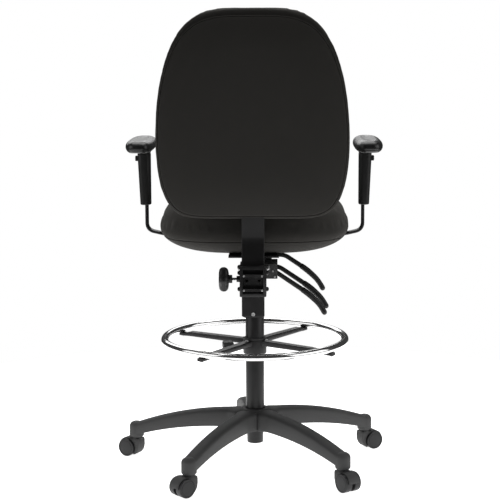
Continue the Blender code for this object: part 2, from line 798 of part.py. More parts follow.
# Back support


def add_carrier(tilt):
    half = CARRIER_HALF_WIDTH
    low, high = CARRIER_BOTTOM, CARRIER_TOP
    body = block((-half, CARRIER_FRONT, low), (half, CARRIER_REAR, high), 0.0025, 2)
    carrier = add_part("back_carrier", body, "painted_steel", tilt)
    slot_x, slot_y = BAR_WIDTH / 2 + PLAY, BAR_THICK / 2 + PLAY
    slot_low = (-slot_x, BAR_PLACE - slot_y, low - 0.01)
    cut(carrier, block(slot_low, (slot_x, BAR_PLACE + slot_y, high + 0.01)))
    window = half - 0.008
    cut(carrier, block((-window, BAR_PLACE, low + 0.009), (window, CARRIER_REAR + 0.01, high - 0.009)))
    front_wall = BAR_PLACE - slot_y - 0.004
    cut(carrier, block((-window, CARRIER_FRONT - 0.01, low + 0.009), (window, front_wall, high - 0.009)))
    rib_x, rib_front, rib_rear = window + 0.002, BAR_PLACE + slot_y + 0.001, CARRIER_REAR - 0.003
    for height in (low + 0.017, high - 0.026):
        join(carrier, block((-rib_x, rib_front, height - 0.004), (rib_x, rib_rear, height + 0.004)))
    y, z = REAR_PIVOT
    face = TRAY_HALF_WIDTH + 2 * GAP
    for side in (-1, 1):
        near, far = sorted((side * face, side * half))
        join(carrier, block((near, y - 0.014, z - 0.016), (far, CARRIER_FRONT + 0.004, z + 0.015)))
    cut(carrier, rod(PIVOT_RADIUS + GAP, -half - 0.01, half + 0.01), across(REAR_PIVOT))
    stud_line = across((BAR_PLACE, BACK_KNOB_HEIGHT))
    join(carrier, rod(0.008, half - 0.002, half + 0.008, MEDIUM), stud_line)
    cut(carrier, rod(BACK_STUD_RADIUS + GAP, BAR_WIDTH / 2 - 0.002, half + 0.02), stud_line)


def bar_section(half):
    """The bar's flat section with its four corners taken off."""
    thick, edge = BAR_THICK / 2, 0.0015
    corners = [(thick, edge - half), (thick, half - edge), (thick - edge, half), (edge - thick, half)]
    return corners + [(-x, -y) for x, y in corners]


def bar_pocket_place():
    """Where the bar's middle stands at the foot of the back."""
    return BACK_REAR - PANEL_THICK - BAR_THICK / 2 - 0.0015


def add_bar(back):
    foot = bar_pocket_place()
    rise = BAR_TOP - BACK_BOTTOM
    corners = [
        (0, BAR_PLACE, BAR_BOTTOM),
        (0, BAR_PLACE, BAR_BOTTOM + 0.008),
        (0, BAR_PLACE, CARRIER_TOP + 0.010),
        (0, foot - 0.0085, BACK_BOTTOM - 0.056),
        (0, foot, BACK_BOTTOM),
        (0, foot + rise * math.tan(BACK_LEAN), BAR_TOP),
    ]
    route = bent(corners, 0.012, 2)
    half = BAR_WIDTH / 2
    sections = [bar_section(half if k else half - 0.007) for k in range(len(route))]
    bar = add_part("back_bar", swept(route, sections, (1, 0, 0)), "painted_steel", back)
    middle = (CARRIER_BOTTOM + CARRIER_TOP) / 2
    for x, z in ((0, BAR_BOTTOM + 0.008), (-0.016, middle), (0.016, middle)):
        cut(bar, rod(0.0038, BAR_PLACE - 0.02, BAR_PLACE + 0.02), shift(x, 0, z) @ ALONG_Y)


def add_back_knob(screw):
    """A round knob with shallow lobes on a threaded stud that bears on the bar's edge."""
    line = across((BAR_PLACE, BACK_KNOB_HEIGHT))
    start = CARRIER_HALF_WIDTH + 0.019
    collar, grip = 0.009, 0.025
    lobes, deep = 5, 0.0025
    rings = []
    for share, scale in ((0, 0.80), (0.08, 0.93), (0.25, 1.0), (0.75, 1.0), (0.92, 0.93), (1.0, 0.80)):
        ring = []
        for k in range(6 * lobes):
            angle = 2 * math.pi * k / (6 * lobes)
            radius = (BACK_KNOB_RADIUS + deep * math.cos(lobes * angle)) * scale
            ring.append((radius * math.cos(angle), radius * math.sin(angle), start + collar + grip * share))
        rings.append(ring)
    knob = add_part("back_knob", lofted(rings), "soft_plastic", screw, line)
    join(knob, rod(0.0105, start, start + collar + 0.002, MEDIUM), line)
    stud_end = start + collar + 0.010
    cut(knob, rod(BACK_STUD_RADIUS + GAP, start - 0.01, stud_end + GAP), line)
    stud = rod(BACK_STUD_RADIUS, BAR_WIDTH / 2 + GAP, stud_end)
    add_part("back_knob_stud", stud, "zinc", screw, line)


# Seat


def seat_ring(height, inset, count=36):
    points = superellipse(SEAT_HALF_WIDTH - inset, SEAT_HALF_DEPTH - inset, 3.2, count)
    return [(x, SEAT_CENTRE + y, height) for x, y in points]


def arm_channel(side):
    """The groove in the seat pan that an arm's bar lies in, open at the top and at the side."""
    thick, wide = ARM_BAR_HALF
    near, far = sorted((side * (arm_root() - GAP), side * (SEAT_HALF_WIDTH + 0.02)))
    low = ARM_ROOT_HEIGHT - thick - 2 * GAP
    return block((near, ARM_PLACE - wide - GAP, low), (far, ARM_PLACE + wide + GAP, PAN_TOP + 0.01))


def arm_root():
    return SEAT_HALF_WIDTH - 0.124


def add_seat(seat):
    depth = PAN_TOP - PAN_BOTTOM
    bowl = SEAT_HALF_WIDTH - PAN_INSET - PLATE_HALF_WIDTH - 0.034
    rings = []
    levels = 6
    for k in range(levels + 1):
        share = 1 - k / levels
        inset = PAN_INSET + bowl * (1 - (1 - share**2) ** 0.5)
        rings.append(seat_ring(PAN_TOP - depth * share, inset))
    pan = add_part("seat_pan", lofted(rings), "soft_plastic", seat)
    for side in (-1, 1):
        cut(pan, arm_channel(side))
    room = 2 * GAP
    recess = (-PLATE_HALF_WIDTH - room, PLATE_FRONT - room, PAN_BOTTOM - 0.01)
    cut(pan, block(recess, (PLATE_HALF_WIDTH + room, PLATE_REAR + room, PLATE_TOP + GAP)))

    start = PAN_TOP + 2 * GAP
    rings = []
    for k in range(4):
        share = 1 - k / 3
        rings.append(seat_ring(SEAT_WIDEST - (SEAT_WIDEST - start) * share, (PAN_INSET - 0.002) * share**2))
    for share in (0.35, 0.60, 0.78, 0.89, 0.955, 1.0):
        inset = SEAT_HALF_WIDTH * (1 - (1 - share**4) ** 0.2) if share < 1 else SEAT_HALF_WIDTH * 0.62
        rings.append(seat_ring(SEAT_WIDEST + (SEAT_TOP - SEAT_WIDEST) * share, inset))
    add_part("seat_cushion", lofted(rings), "fabric", seat)


# Back


def back_ring(depth, inset, count=40):
    """The back's outline, drawn in by inset, at a depth in front of its rear face, leaning back."""
    ring = []
    for k in range(count):
        angle = 2 * math.pi * k / count
        c, s = math.cos(angle), math.sin(angle)
        reach, round_by = (BACK_TOP - BACK_WIDEST, 0.52) if s > 0 else (BACK_WIDEST - BACK_BOTTOM, 0.25)
        x = (BACK_HALF_WIDTH - inset) * math.copysign(abs(c) ** round_by, c)
        z = BACK_WIDEST + (reach - inset) * s
        y = BACK_REAR + (z - BACK_BOTTOM) * math.tan(BACK_LEAN) - depth / math.cos(BACK_LEAN)
        ring.append((x, y, z))
    return ring


def bar_pocket(front, rear):
    """The upright slot that the bar stands in, between two depths, open at the foot of the back."""
    half = BAR_WIDTH / 2 + GAP
    rings = []
    for z in (BACK_BOTTOM - 0.02, BAR_TOP + 0.004):
        y = BACK_REAR + (z - BACK_BOTTOM) * math.tan(BACK_LEAN)
        rings.append([(-half, y - rear, z), (half, y - rear, z), (half, y - front, z), (-half, y - front, z)])
    return lofted(rings)


def add_back(back):
    rings = []
    for share, inset in ((0, 0.110), (0.10, 0.062), (0.30, 0.036), (0.60, 0.024), (1, 0.0)):
        rings.append(back_ring(PANEL_THICK * share, SEAM_INSET + inset))
    add_part("back_panel", lofted(rings), "fabric", back)

    start = PANEL_THICK + GAP
    rings = [back_ring(start, SEAM_INSET - 0.002), back_ring(start + 0.008, SEAM_INSET * 0.35)]
    rings.append(back_ring(start + 0.017, 0.0))
    round_from, front = start + 0.017, PANEL_THICK + CUSHION_THICK
    for share in (0.25, 0.5, 0.72, 0.88, 0.97):
        inset = 0.075 * (1 - math.sqrt(1 - share**2))
        rings.append(back_ring(round_from + (front - round_from) * share, inset))
    rings.append(back_ring(front, 0.100))
    cushion = add_part("back_cushion", lofted(rings), "fabric", back)
    cut(cushion, bar_pocket(PANEL_THICK - 0.004, PANEL_THICK + BAR_THICK + 0.004))


# Arms


def add_arm(name, side, seat):
    thick, wide = ARM_BAR_HALF
    corners = [
        (side * arm_root(), ARM_PLACE, ARM_ROOT_HEIGHT),
        (side * (SEAT_HALF_WIDTH - 0.018), ARM_PLACE, ARM_ROOT_HEIGHT),
        (side * ARM_UPRIGHT, ARM_PLACE, ARM_ELBOW),
        (side * ARM_UPRIGHT, ARM_PLACE, ARM_BAR_TOP),
    ]
    route = bent(corners, 0.018, 4)
    section = superellipse(thick, wide, 3.0, 12)
    add_part(f"arm_bar_{name}", swept(route, [section] * len(route), (0, 1, 0)), "painted_steel", seat)

    slide = add_pivot(f"arm_slide_{name}", shift(side * ARM_UPRIGHT, ARM_PLACE, SLEEVE_BOTTOM), seat)
    inner_face = ARM_UPRIGHT - thick - PLAY - SLEEVE_INNER_WALL
    rings = []
    for share, inset in ((0, 0.0015), (0.03, 0), (0.5, 0), (0.97, 0), (1, 0.0015)):
        a, b = ((foot + (head - foot) * share) for foot, head in zip(SLEEVE_FOOT_HALF, SLEEVE_HEAD_HALF))
        centre = inner_face + a
        height = SLEEVE_BOTTOM + (SLEEVE_TOP - SLEEVE_BOTTOM) * share
        ring = superellipse(a - inset, b - inset, 3.0, 20)
        rings.append([(side * (centre + x), ARM_PLACE + y, height) for x, y in ring])
    sleeve = add_part(f"arm_sleeve_{name}", lofted(rings), "soft_plastic", slide)
    low = (ARM_UPRIGHT - thick - PLAY, ARM_PLACE - wide - PLAY, SLEEVE_BOTTOM - 0.01)
    high = (ARM_UPRIGHT + thick + PLAY, ARM_PLACE + wide + PLAY, SLEEVE_CAVITY_TOP)
    mirror = Matrix.Diagonal((side, 1, 1, 1))
    cut(sleeve, block(low, high), mirror)
    outer = inner_face + 2 * SLEEVE_HEAD_HALF[0]
    tab_x, tab_half, tab_low, tab_high = outer - 0.010, 0.007, 0.832, 0.846
    pocket_low = (tab_x - 0.0045, ARM_PLACE - tab_half - PLAY, tab_low - PLAY)
    pocket_high = (outer + 0.01, ARM_PLACE + tab_half + PLAY, tab_high + PLAY)
    cut(sleeve, block(pocket_low, pocket_high), mirror)
    press = add_pivot(f"arm_button_slide_{name}", shift(side * tab_x, ARM_PLACE, tab_low), slide)
    tab_end = (outer + 0.006, ARM_PLACE + tab_half, tab_high)
    tab = block((tab_x, ARM_PLACE - tab_half, tab_low), tab_end, 0.0015, 2)
    add_part(f"arm_button_{name}", tab, "soft_plastic", press, mirror)

    rings = []
    for share, inset in ((0, 0.007), (0.14, 0.002), (0.38, 0), (0.68, 0.002), (0.88, 0.008), (1, 0.017)):
        height = SLEEVE_TOP + GAP + PAD_THICK * share
        ring = superellipse(PAD_HALF[0] - inset, PAD_HALF[1] - inset, 3.6, FINE)
        rings.append([(side * PAD_CENTRE + x, ARM_PLACE + y, height) for x, y in ring])
    add_part(f"arm_pad_{name}", lofted(rings), "soft_plastic", slide)


def stand_on_origin(root):
    """Moves the root so that the bottom of the chair's box is centred on the origin."""
    bpy.context.view_layer.update()
    graph = bpy.context.evaluated_depsgraph_get()
    corners = []
    for obj in bpy.context.scene.objects:
        if obj.type == "MESH" and not obj.hide_render:
            evaluated = obj.evaluated_get(graph)
            corners += [evaluated.matrix_world @ vertex.co for vertex in evaluated.data.vertices]
    low = [min(c[axis] for c in corners) for axis in range(3)]
    high = [max(c[axis] for c in corners) for axis in range(3)]
    root.location = (-(low[0] + high[0]) / 2, -(low[1] + high[1]) / 2, -low[2])


def main():
    clear_scene()
    make_finishes()
    base = add_pivot("chair")
    add_base_star(base)
    add_casters(base)
    footring = add_pivot("footring_slide", shift(0, 0, RING_HUB_BOTTOM), base)
    add_footring(footring)

    turning = add_pivot("seat_swivel", shift(0, 0, COLUMN_BOTTOM), base)
    mechanism = add_pivot("seat_lift", shift(0, 0, CYLINDER_BOTTOM), turning)
    add_column(base, turning, mechanism)
    add_tray(mechanism)
    add_pivots(mechanism)
    add_tilt_spring(mechanism)
    add_levers(mechanism)

    seat = add_pivot("seat_tilt", shift(0, *FRONT_PIVOT), mechanism)
    add_seat_plate(seat)
    add_seat(seat)
    for name, side in (("left", 1), ("right", -1)):
        add_arm(name, side, seat)

    tilt = add_pivot("back_tilt", shift(0, *REAR_PIVOT), mechanism)
    add_carrier(tilt)
    back = add_pivot("back_slide", shift(0, BAR_PLACE, BAR_BOTTOM), tilt)
    add_bar(back)
    add_back(back)
    screw = add_pivot("back_knob_screw", shift(0, BAR_PLACE, BACK_KNOB_HEIGHT), tilt)
    add_back_knob(screw)
    stand_on_origin(base)


main()
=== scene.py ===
"""Drafting chair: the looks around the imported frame.

Every length is in metres. The chair faces -Y, so +X is the sitter's left, and the floor is at height 0.
New pieces are grids of points worked out with numpy; each function says its formula in words.
"""

import json
import math

import bmesh
import bpy
import mathutils
import numpy as np
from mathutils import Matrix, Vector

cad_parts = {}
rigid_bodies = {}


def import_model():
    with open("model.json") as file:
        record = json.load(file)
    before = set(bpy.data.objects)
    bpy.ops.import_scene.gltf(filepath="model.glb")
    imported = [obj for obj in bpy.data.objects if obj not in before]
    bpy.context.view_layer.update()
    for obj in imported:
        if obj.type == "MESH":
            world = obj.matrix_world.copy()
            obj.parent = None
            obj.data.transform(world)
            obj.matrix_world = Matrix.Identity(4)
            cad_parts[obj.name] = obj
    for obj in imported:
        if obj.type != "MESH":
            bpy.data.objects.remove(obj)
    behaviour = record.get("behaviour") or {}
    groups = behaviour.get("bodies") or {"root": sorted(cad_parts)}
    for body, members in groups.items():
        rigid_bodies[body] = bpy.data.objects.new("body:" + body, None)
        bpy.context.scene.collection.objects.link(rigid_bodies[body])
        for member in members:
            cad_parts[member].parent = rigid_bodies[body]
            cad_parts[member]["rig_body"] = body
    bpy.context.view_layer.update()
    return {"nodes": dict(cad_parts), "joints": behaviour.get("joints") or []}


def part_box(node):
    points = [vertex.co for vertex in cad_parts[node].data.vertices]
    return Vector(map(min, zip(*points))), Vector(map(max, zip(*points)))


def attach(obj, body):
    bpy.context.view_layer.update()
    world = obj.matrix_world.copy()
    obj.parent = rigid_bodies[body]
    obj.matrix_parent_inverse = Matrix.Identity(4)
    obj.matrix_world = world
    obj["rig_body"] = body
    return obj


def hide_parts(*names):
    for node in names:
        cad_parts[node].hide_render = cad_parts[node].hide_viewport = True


bl_info = {
    "name": "Drafting Chair",
    "version": (1, 0, 0),
    "blender": (4, 5, 0),
    "location": "View3D > Sidebar > Drafting Chair",
    "description": "Builds a drafting chair's covers, mouldings and plated parts around its frame",
    "category": "Object",
}

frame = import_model()
JOINTS = {joint["name"]: joint for joint in frame["joints"]}

# Places read from the frame, and what every group shares
COLUMN_AXIS = np.array(JOINTS["seat_swivel"]["pos_m"]) * (1, 1, 0)
CASTERS = (1, 2, 3, 4, 5)
SIDES = (("left", 1), ("right", -1))
UP = np.array([0.0, 0.0, 1.0])
IDENTITY = np.eye(3)
RUNNING_GAP = 0.0003
ARM_ROOT = 0.130  # how far from the middle an arm's bar starts, under the seat
COLOUR = {"subtype": "COLOR", "size": 4, "min": 0, "max": 1}


def corners(node):
    """The lowest and highest corner of a frame node, as arrays."""
    low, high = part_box(node)
    return np.array(low), np.array(high)


def joint_place(name):
    """A point on a joint's axis."""
    return np.array(JOINTS[name]["pos_m"])


# Settings that a user would change


class ClothSettings(bpy.types.PropertyGroup):
    """The upholstery and how full the cushions are."""

    colour: bpy.props.FloatVectorProperty(
        name="Cloth colour",
        description="Colour of the upholstery's yarn",
        **COLOUR,
        default=(0.0310, 0.0295, 0.0272, 1.0),
    )
    light_yarn: bpy.props.FloatVectorProperty(
        name="Light yarn",
        description="Colour of the yarn where it catches the light",
        **COLOUR,
        default=(0.039, 0.0370, 0.0340, 1.0),
    )
    yarn_pitch: bpy.props.FloatProperty(
        name="Yarn pitch",
        description="Distance from one yarn of the weave to the next",
        subtype="DISTANCE",
        default=0.0011,
        min=0.0003,
    )
    piping_radius: bpy.props.FloatProperty(
        name="Piping radius",
        description="Radius of the cord sewn into the seams",
        subtype="DISTANCE",
        default=0.0018,
        min=0.0005,
    )
    pressure: bpy.props.FloatProperty(
        name="Filling pressure",
        description="How hard the foam pushes the cover out",
        default=4.0,
        min=0,
    )
    swell_cap: bpy.props.FloatProperty(
        name="Largest swell",
        description="How far the filling may move any point of the cover",
        subtype="DISTANCE",
        default=0.007,
        min=0,
    )
    voxel: bpy.props.FloatProperty(
        name="Cover mesh size",
        description="Size of the even mesh that the cover is simulated on",
        subtype="DISTANCE",
        default=0.006,
        min=0.002,
    )


class PlasticSettings(bpy.types.PropertyGroup):
    """Moulded pieces: nylon base and hoods, polypropylene covers, skinned foam pads."""

    nylon: bpy.props.FloatVectorProperty(
        name="Nylon colour",
        description="Colour of the base, the hoods and the wheels",
        **COLOUR,
        default=(0.0100, 0.0100, 0.0106, 1.0),
    )
    soft: bpy.props.FloatVectorProperty(
        name="Soft plastic colour",
        description="Colour of the levers, sleeves and knobs",
        **COLOUR,
        default=(0.012, 0.012, 0.012, 1.0),
    )
    grain: bpy.props.FloatProperty(
        name="Grain size",
        description="Size of the moulded grain",
        subtype="DISTANCE",
        default=0.0007,
        min=0.0002,
    )


class MetalSettings(bpy.types.PropertyGroup):
    """Painted, chromed and zinc plated steel."""

    paint: bpy.props.FloatVectorProperty(
        name="Paint colour",
        description="Colour of the powder coat",
        **COLOUR,
        default=(0.0105, 0.0102, 0.0105, 1.0),
    )
    chrome_roughness: bpy.props.FloatProperty(
        name="Chrome roughness",
        description="How dull the plating on the footring is",
        default=0.045,
        min=0,
        max=1,
    )


class StageSettings(bpy.types.PropertyGroup):
    """Floor, lights and camera."""

    floor: bpy.props.FloatVectorProperty(
        name="Floor colour",
        description="Colour of the floor",
        **COLOUR,
        default=(0.97, 0.97, 0.97, 1.0),
    )
    floor_radius: bpy.props.FloatProperty(
        name="Floor radius",
        description="How far the bright floor reaches round the chair",
        subtype="DISTANCE",
        default=1.5,
        min=0.5,
    )
    room_light: bpy.props.FloatProperty(
        name="Room light",
        description="Strength of the even light from all round",
        default=0.05,
        min=0,
    )
    lens: bpy.props.FloatProperty(
        name="Lens",
        description="Focal length of the camera, in millimetres",
        default=108.9,
        min=1,
    )
    distance: bpy.props.FloatProperty(
        name="Camera distance",
        description="Level distance from the column to the camera",
        subtype="DISTANCE",
        default=4.032,
        min=0.1,
    )
    height: bpy.props.FloatProperty(
        name="Camera height",
        description="Height of the camera above the floor",
        subtype="DISTANCE",
        default=1.187,
    )
    turn: bpy.props.FloatProperty(
        name="Camera turn",
        description="How far the camera stands round from straight behind the chair",
        subtype="ANGLE",
        default=math.radians(1.0),
    )
    pitch: bpy.props.FloatProperty(
        name="Camera pitch",
        description="How far the camera looks down",
        subtype="ANGLE",
        default=0.1471,
    )
    roll: bpy.props.FloatProperty(
        name="Camera roll",
        description="How far the camera is tipped to one side",
        subtype="ANGLE",
        default=math.radians(0.22),
    )


class ChairSettings(bpy.types.PropertyGroup):
    """All the settings of the chair."""

    cloth: bpy.props.PointerProperty(type=ClothSettings, name="Cloth", description="Upholstery")
    plastic: bpy.props.PointerProperty(type=PlasticSettings, name="Plastic", description="Mouldings")
    metal: bpy.props.PointerProperty(type=MetalSettings, name="Metal", description="Steel pieces")
    stage: bpy.props.PointerProperty(type=StageSettings, name="Stage", description="Floor and camera")


def settings():
    """The chair's settings in this scene."""
    return bpy.context.scene.drafting_chair


# Grids of points: each function returns an array of rows, columns and x, y, z


def facing(axis, up=UP):
    """A turn whose third column is the axis and whose second is as near to up as it can be."""
    axis = np.asarray(axis, float) / np.linalg.norm(axis)
    side = np.cross(up, axis)
    if np.linalg.norm(side) < 1e-6:
        side = np.array([1.0, 0.0, 0.0])
    side = side / np.linalg.norm(side)
    return np.stack([side, np.cross(axis, side), axis], 1)


def about_z(angle):
    """A turn about Z: (cos, -sin) over (sin, cos), with Z left as it is."""
    c, s = math.cos(angle), math.sin(angle)
    return np.array([[c, -s, 0], [s, c, 0], [0, 0, 1]])


def placed(points, at=(0, 0, 0), turn=IDENTITY):
    """Points turned about the origin and then moved."""
    return np.asarray(points) @ np.asarray(turn).T + np.asarray(at)


def turned(profile, at=(0, 0, 0), turn=IDENTITY, steps=72):
    """(Radius, height) pairs turned about Z: each point is (radius cos a, radius sin a, height)."""
    profile = np.asarray(profile, float)
    angle = np.linspace(0, 2 * np.pi, steps, endpoint=False)
    x = profile[:, :1] * np.cos(angle)
    y = profile[:, :1] * np.sin(angle)
    z = np.repeat(profile[:, 1:], steps, axis=1)
    return placed(np.stack([x, y, z], 2), at, turn)


def ring(profile, edge, steps, at=(0, 0, 0), turn=IDENTITY, count=72):
    """A closed profile of (radius, height) pairs with rounded corners, turned about Z into a ring."""
    return turned(rounded(profile, edge, steps, closed=True), at, turn, count), True


def carried(path, sections, normal):
    """Sections of (across, along the normal) pairs carried along a path, each square to the path there."""
    path, normal = np.asarray(path, float), np.asarray(normal, float)
    ahead = np.gradient(path, axis=0)
    ahead /= np.linalg.norm(ahead, axis=1)[:, None]
    across = np.cross(ahead, normal)
    across /= np.linalg.norm(across, axis=1)[:, None]
    return path[:, None] + sections[..., :1] * across[:, None] + sections[..., 1:] * normal


def tube_along(path, radius, sides=16):
    """A closed round tube: each point is the path's point plus a circle in the plane square to the path."""
    ahead = np.roll(path, -1, 0) - np.roll(path, 1, 0)
    ahead /= np.linalg.norm(ahead, axis=1)[:, None]
    middle = path.mean(0)
    away = path - middle
    away -= (away * ahead).sum(1)[:, None] * ahead
    away /= np.linalg.norm(away, axis=1)[:, None]
    other = np.cross(ahead, away)
    angle = np.linspace(0, 2 * np.pi, sides, endpoint=False)[:, None]
    return path[:, None] + radius * (np.cos(angle) * away[:, None] + np.sin(angle) * other[:, None])


def superellipse(half_x, half_y, power, count):
    """Points where (x / half_x) to the power plus (y / half_y) to the power is 1, evenly spread in angle."""
    angle = np.linspace(0, 2 * np.pi, count, endpoint=False)
    c, s = np.cos(angle), np.sin(angle)
    x = half_x * np.sign(c) * np.abs(c) ** (2 / power)
    y = half_y * np.sign(s) * np.abs(s) ** (2 / power)
    return np.stack([x, y], 1)


def rounded(outline, radius, steps=5, closed=False):
    """An outline with a curve for each corner, which leaves one side and meets the next at the radius."""
    outline = np.asarray(outline, float)
    before, after = np.roll(outline, 1, 0) - outline, np.roll(outline, -1, 0) - outline
    reach_before = np.minimum(radius, np.linalg.norm(before, axis=1) * 0.49)[:, None]
    reach_after = np.minimum(radius, np.linalg.norm(after, axis=1) * 0.49)[:, None]
    first = outline + before / np.linalg.norm(before, axis=1)[:, None] * reach_before
    last = outline + after / np.linalg.norm(after, axis=1)[:, None] * reach_after
    t = np.linspace(0, 1, steps)[None, :, None]
    curve = first[:, None] * (1 - t) ** 2 + outline[:, None] * 2 * t * (1 - t) + last[:, None] * t**2
    if closed:
        return curve.reshape(-1, outline.shape[1])
    inner = curve[1:-1].reshape(-1, outline.shape[1])
    return np.concatenate([outline[:1], inner, outline[-1:]])


def evenly(path, count):
    """A path's points spread evenly along its length."""
    steps = np.linalg.norm(np.diff(path, axis=0), axis=1)
    length = np.concatenate([[0], np.cumsum(steps)])
    at = np.linspace(0, length[-1], count)
    return np.stack([np.interp(at, length, path[:, axis]) for axis in range(3)], 1)


def soft_block(low, high, edge, steps=4):
    """A box with round edges: level outlines whose inset follows a quarter circle at the foot and the top."""
    low, high = np.asarray(low, float), np.asarray(high, float)
    quarter = np.linspace(0, np.pi / 2, steps + 1)
    inset = edge * (1 - np.sin(quarter))
    rise = edge * (1 - np.cos(quarter))
    insets = np.concatenate([inset, inset[::-1]])
    heights = np.concatenate([low[2] + rise, high[2] - rise[::-1]])
    half = (high[:2] - low[:2]) / 2
    square = np.array([(1, 1), (-1, 1), (-1, -1), (1, -1)]) * half
    outline = rounded(square, edge, steps + 2, closed=True)
    shrink = 1 - insets[:, None, None] / half
    flat = (low[:2] + high[:2]) / 2 + outline[None] * shrink
    return np.concatenate([flat, np.broadcast_to(heights[:, None, None], (*flat.shape[:2], 1))], 2)


# Meshes


def faces_of(rows, columns, start, wrap):
    """Quads of a grid whose columns close, and fans over its two end rows unless the rows close too."""
    index = start + np.arange(rows * columns).reshape(rows, columns)
    beside = np.roll(index, -1, 1)
    above, above_beside = np.roll(index, -1, 0), np.roll(beside, -1, 0)
    quads = np.stack([index, beside, above_beside, above], 2)
    if wrap:
        return quads.reshape(-1, 4).tolist()
    centre = start + rows * columns
    low_fan = np.stack([beside[0], index[0], np.full(columns, centre)], 1)
    high_fan = np.stack([index[-1], beside[-1], np.full(columns, centre + 1)], 1)
    return quads[:-1].reshape(-1, 4).tolist() + low_fan.tolist() + high_fan.tolist()


def mesh_of(name, shells):
    """A mesh of closed shells, each a grid or a (grid, rows close) pair, with its faces turned outward."""
    points, faces, start = [], [], 0
    for shell in shells:
        grid, wrap = shell if isinstance(shell, tuple) else (shell, False)
        flat = grid.reshape(-1, 3)
        if not wrap:
            flat = np.concatenate([flat, grid[:1].mean(1), grid[-1:].mean(1)])
        faces += faces_of(grid.shape[0], grid.shape[1], start, wrap)
        points.append(flat)
        start += len(flat)
    mesh = bpy.data.meshes.new(name)
    mesh.from_pydata(np.concatenate(points).tolist(), [], faces)
    tidy(mesh)
    return mesh


def tidy(mesh, dissolve=False):
    """Merges what coincides, drops faces with no area and turns the rest outward."""
    bm = bmesh.new()
    bm.from_mesh(mesh)
    bmesh.ops.remove_doubles(bm, verts=bm.verts, dist=2e-6)
    bmesh.ops.dissolve_degenerate(bm, edges=bm.edges, dist=1e-6)
    if dissolve:
        bmesh.ops.dissolve_limit(bm, angle_limit=math.radians(0.5), verts=bm.verts, edges=bm.edges)
    bmesh.ops.recalc_face_normals(bm, faces=bm.faces)
    bm.to_mesh(mesh)
    bm.free()


def add_piece(name, shells, finish, body, stands_for=(), crease=40):
    """One piece of closed shells that rides on a body and may stand for frame nodes."""
    return show(mesh_of(name, shells), finish, body, stands_for, crease)


def show(mesh, finish, body, stands_for=(), crease=40):
    """Puts a mesh in the scene with its finish, its body and the nodes that it stands for."""
    obj = bpy.data.objects.new(mesh.name, mesh)
    bpy.context.scene.collection.objects.link(obj)
    mesh.shade_smooth()
    mesh.set_sharp_from_angle(angle=math.radians(crease))
    mesh.materials.clear()
    mesh.materials.append(material(finish))
    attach(obj, body)
    if stands_for:
        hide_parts(*stands_for)
    return obj


def soften(obj, width):
    """Bevels the edges that fold by more than 40 degrees."""
    bevel = obj.modifiers.new("softened edges", "BEVEL")
    bevel.width = width
    bevel.segments = 2
    bevel.limit_method = "ANGLE"
    bevel.angle_limit = math.radians(40)
    bevel.harden_normals = False


def carry_over(node, name, finish, edge):
    """A copy of a frame node with its doubles merged and its edges broken, which stands for it."""
    source = frame["nodes"][node]
    mesh = source.data.copy()
    mesh.name = name
    tidy(mesh, dissolve=True)
    soften(show(mesh, finish, source["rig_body"], [node], crease=32), edge)


def repaint(finish, *nodes):
    """Keeps each frame node's own shape and gives it its finish."""
    for node in nodes:
        slots = frame["nodes"][node].data.materials
        slots.clear()
        slots.append(material(finish))


def keep_modified(obj):
    """Makes the shape that the modifiers give the piece's own mesh."""
    graph = bpy.context.evaluated_depsgraph_get()
    mesh = bpy.data.meshes.new_from_object(obj.evaluated_get(graph))
    obj.modifiers.clear()
    obj.data = mesh


def cut_away(obj, shapes):
    """Cuts closed shapes out of a piece and keeps the result as its mesh."""
    tools = []
    for shape in shapes:
        tool = bpy.data.objects.new("cutter", mesh_of("cutter", [shape]))
        bpy.context.scene.collection.objects.link(tool)
        modifier = obj.modifiers.new("cut", "BOOLEAN")
        modifier.operation = "DIFFERENCE"
        modifier.solver = "EXACT"
        modifier.object = tool
        tools.append(tool)
    keep_modified(obj)
    for tool in tools:
        bpy.data.objects.remove(tool, do_unlink=True)


# Finishes. Patterns read Object coordinates, so they are in metres on every piece


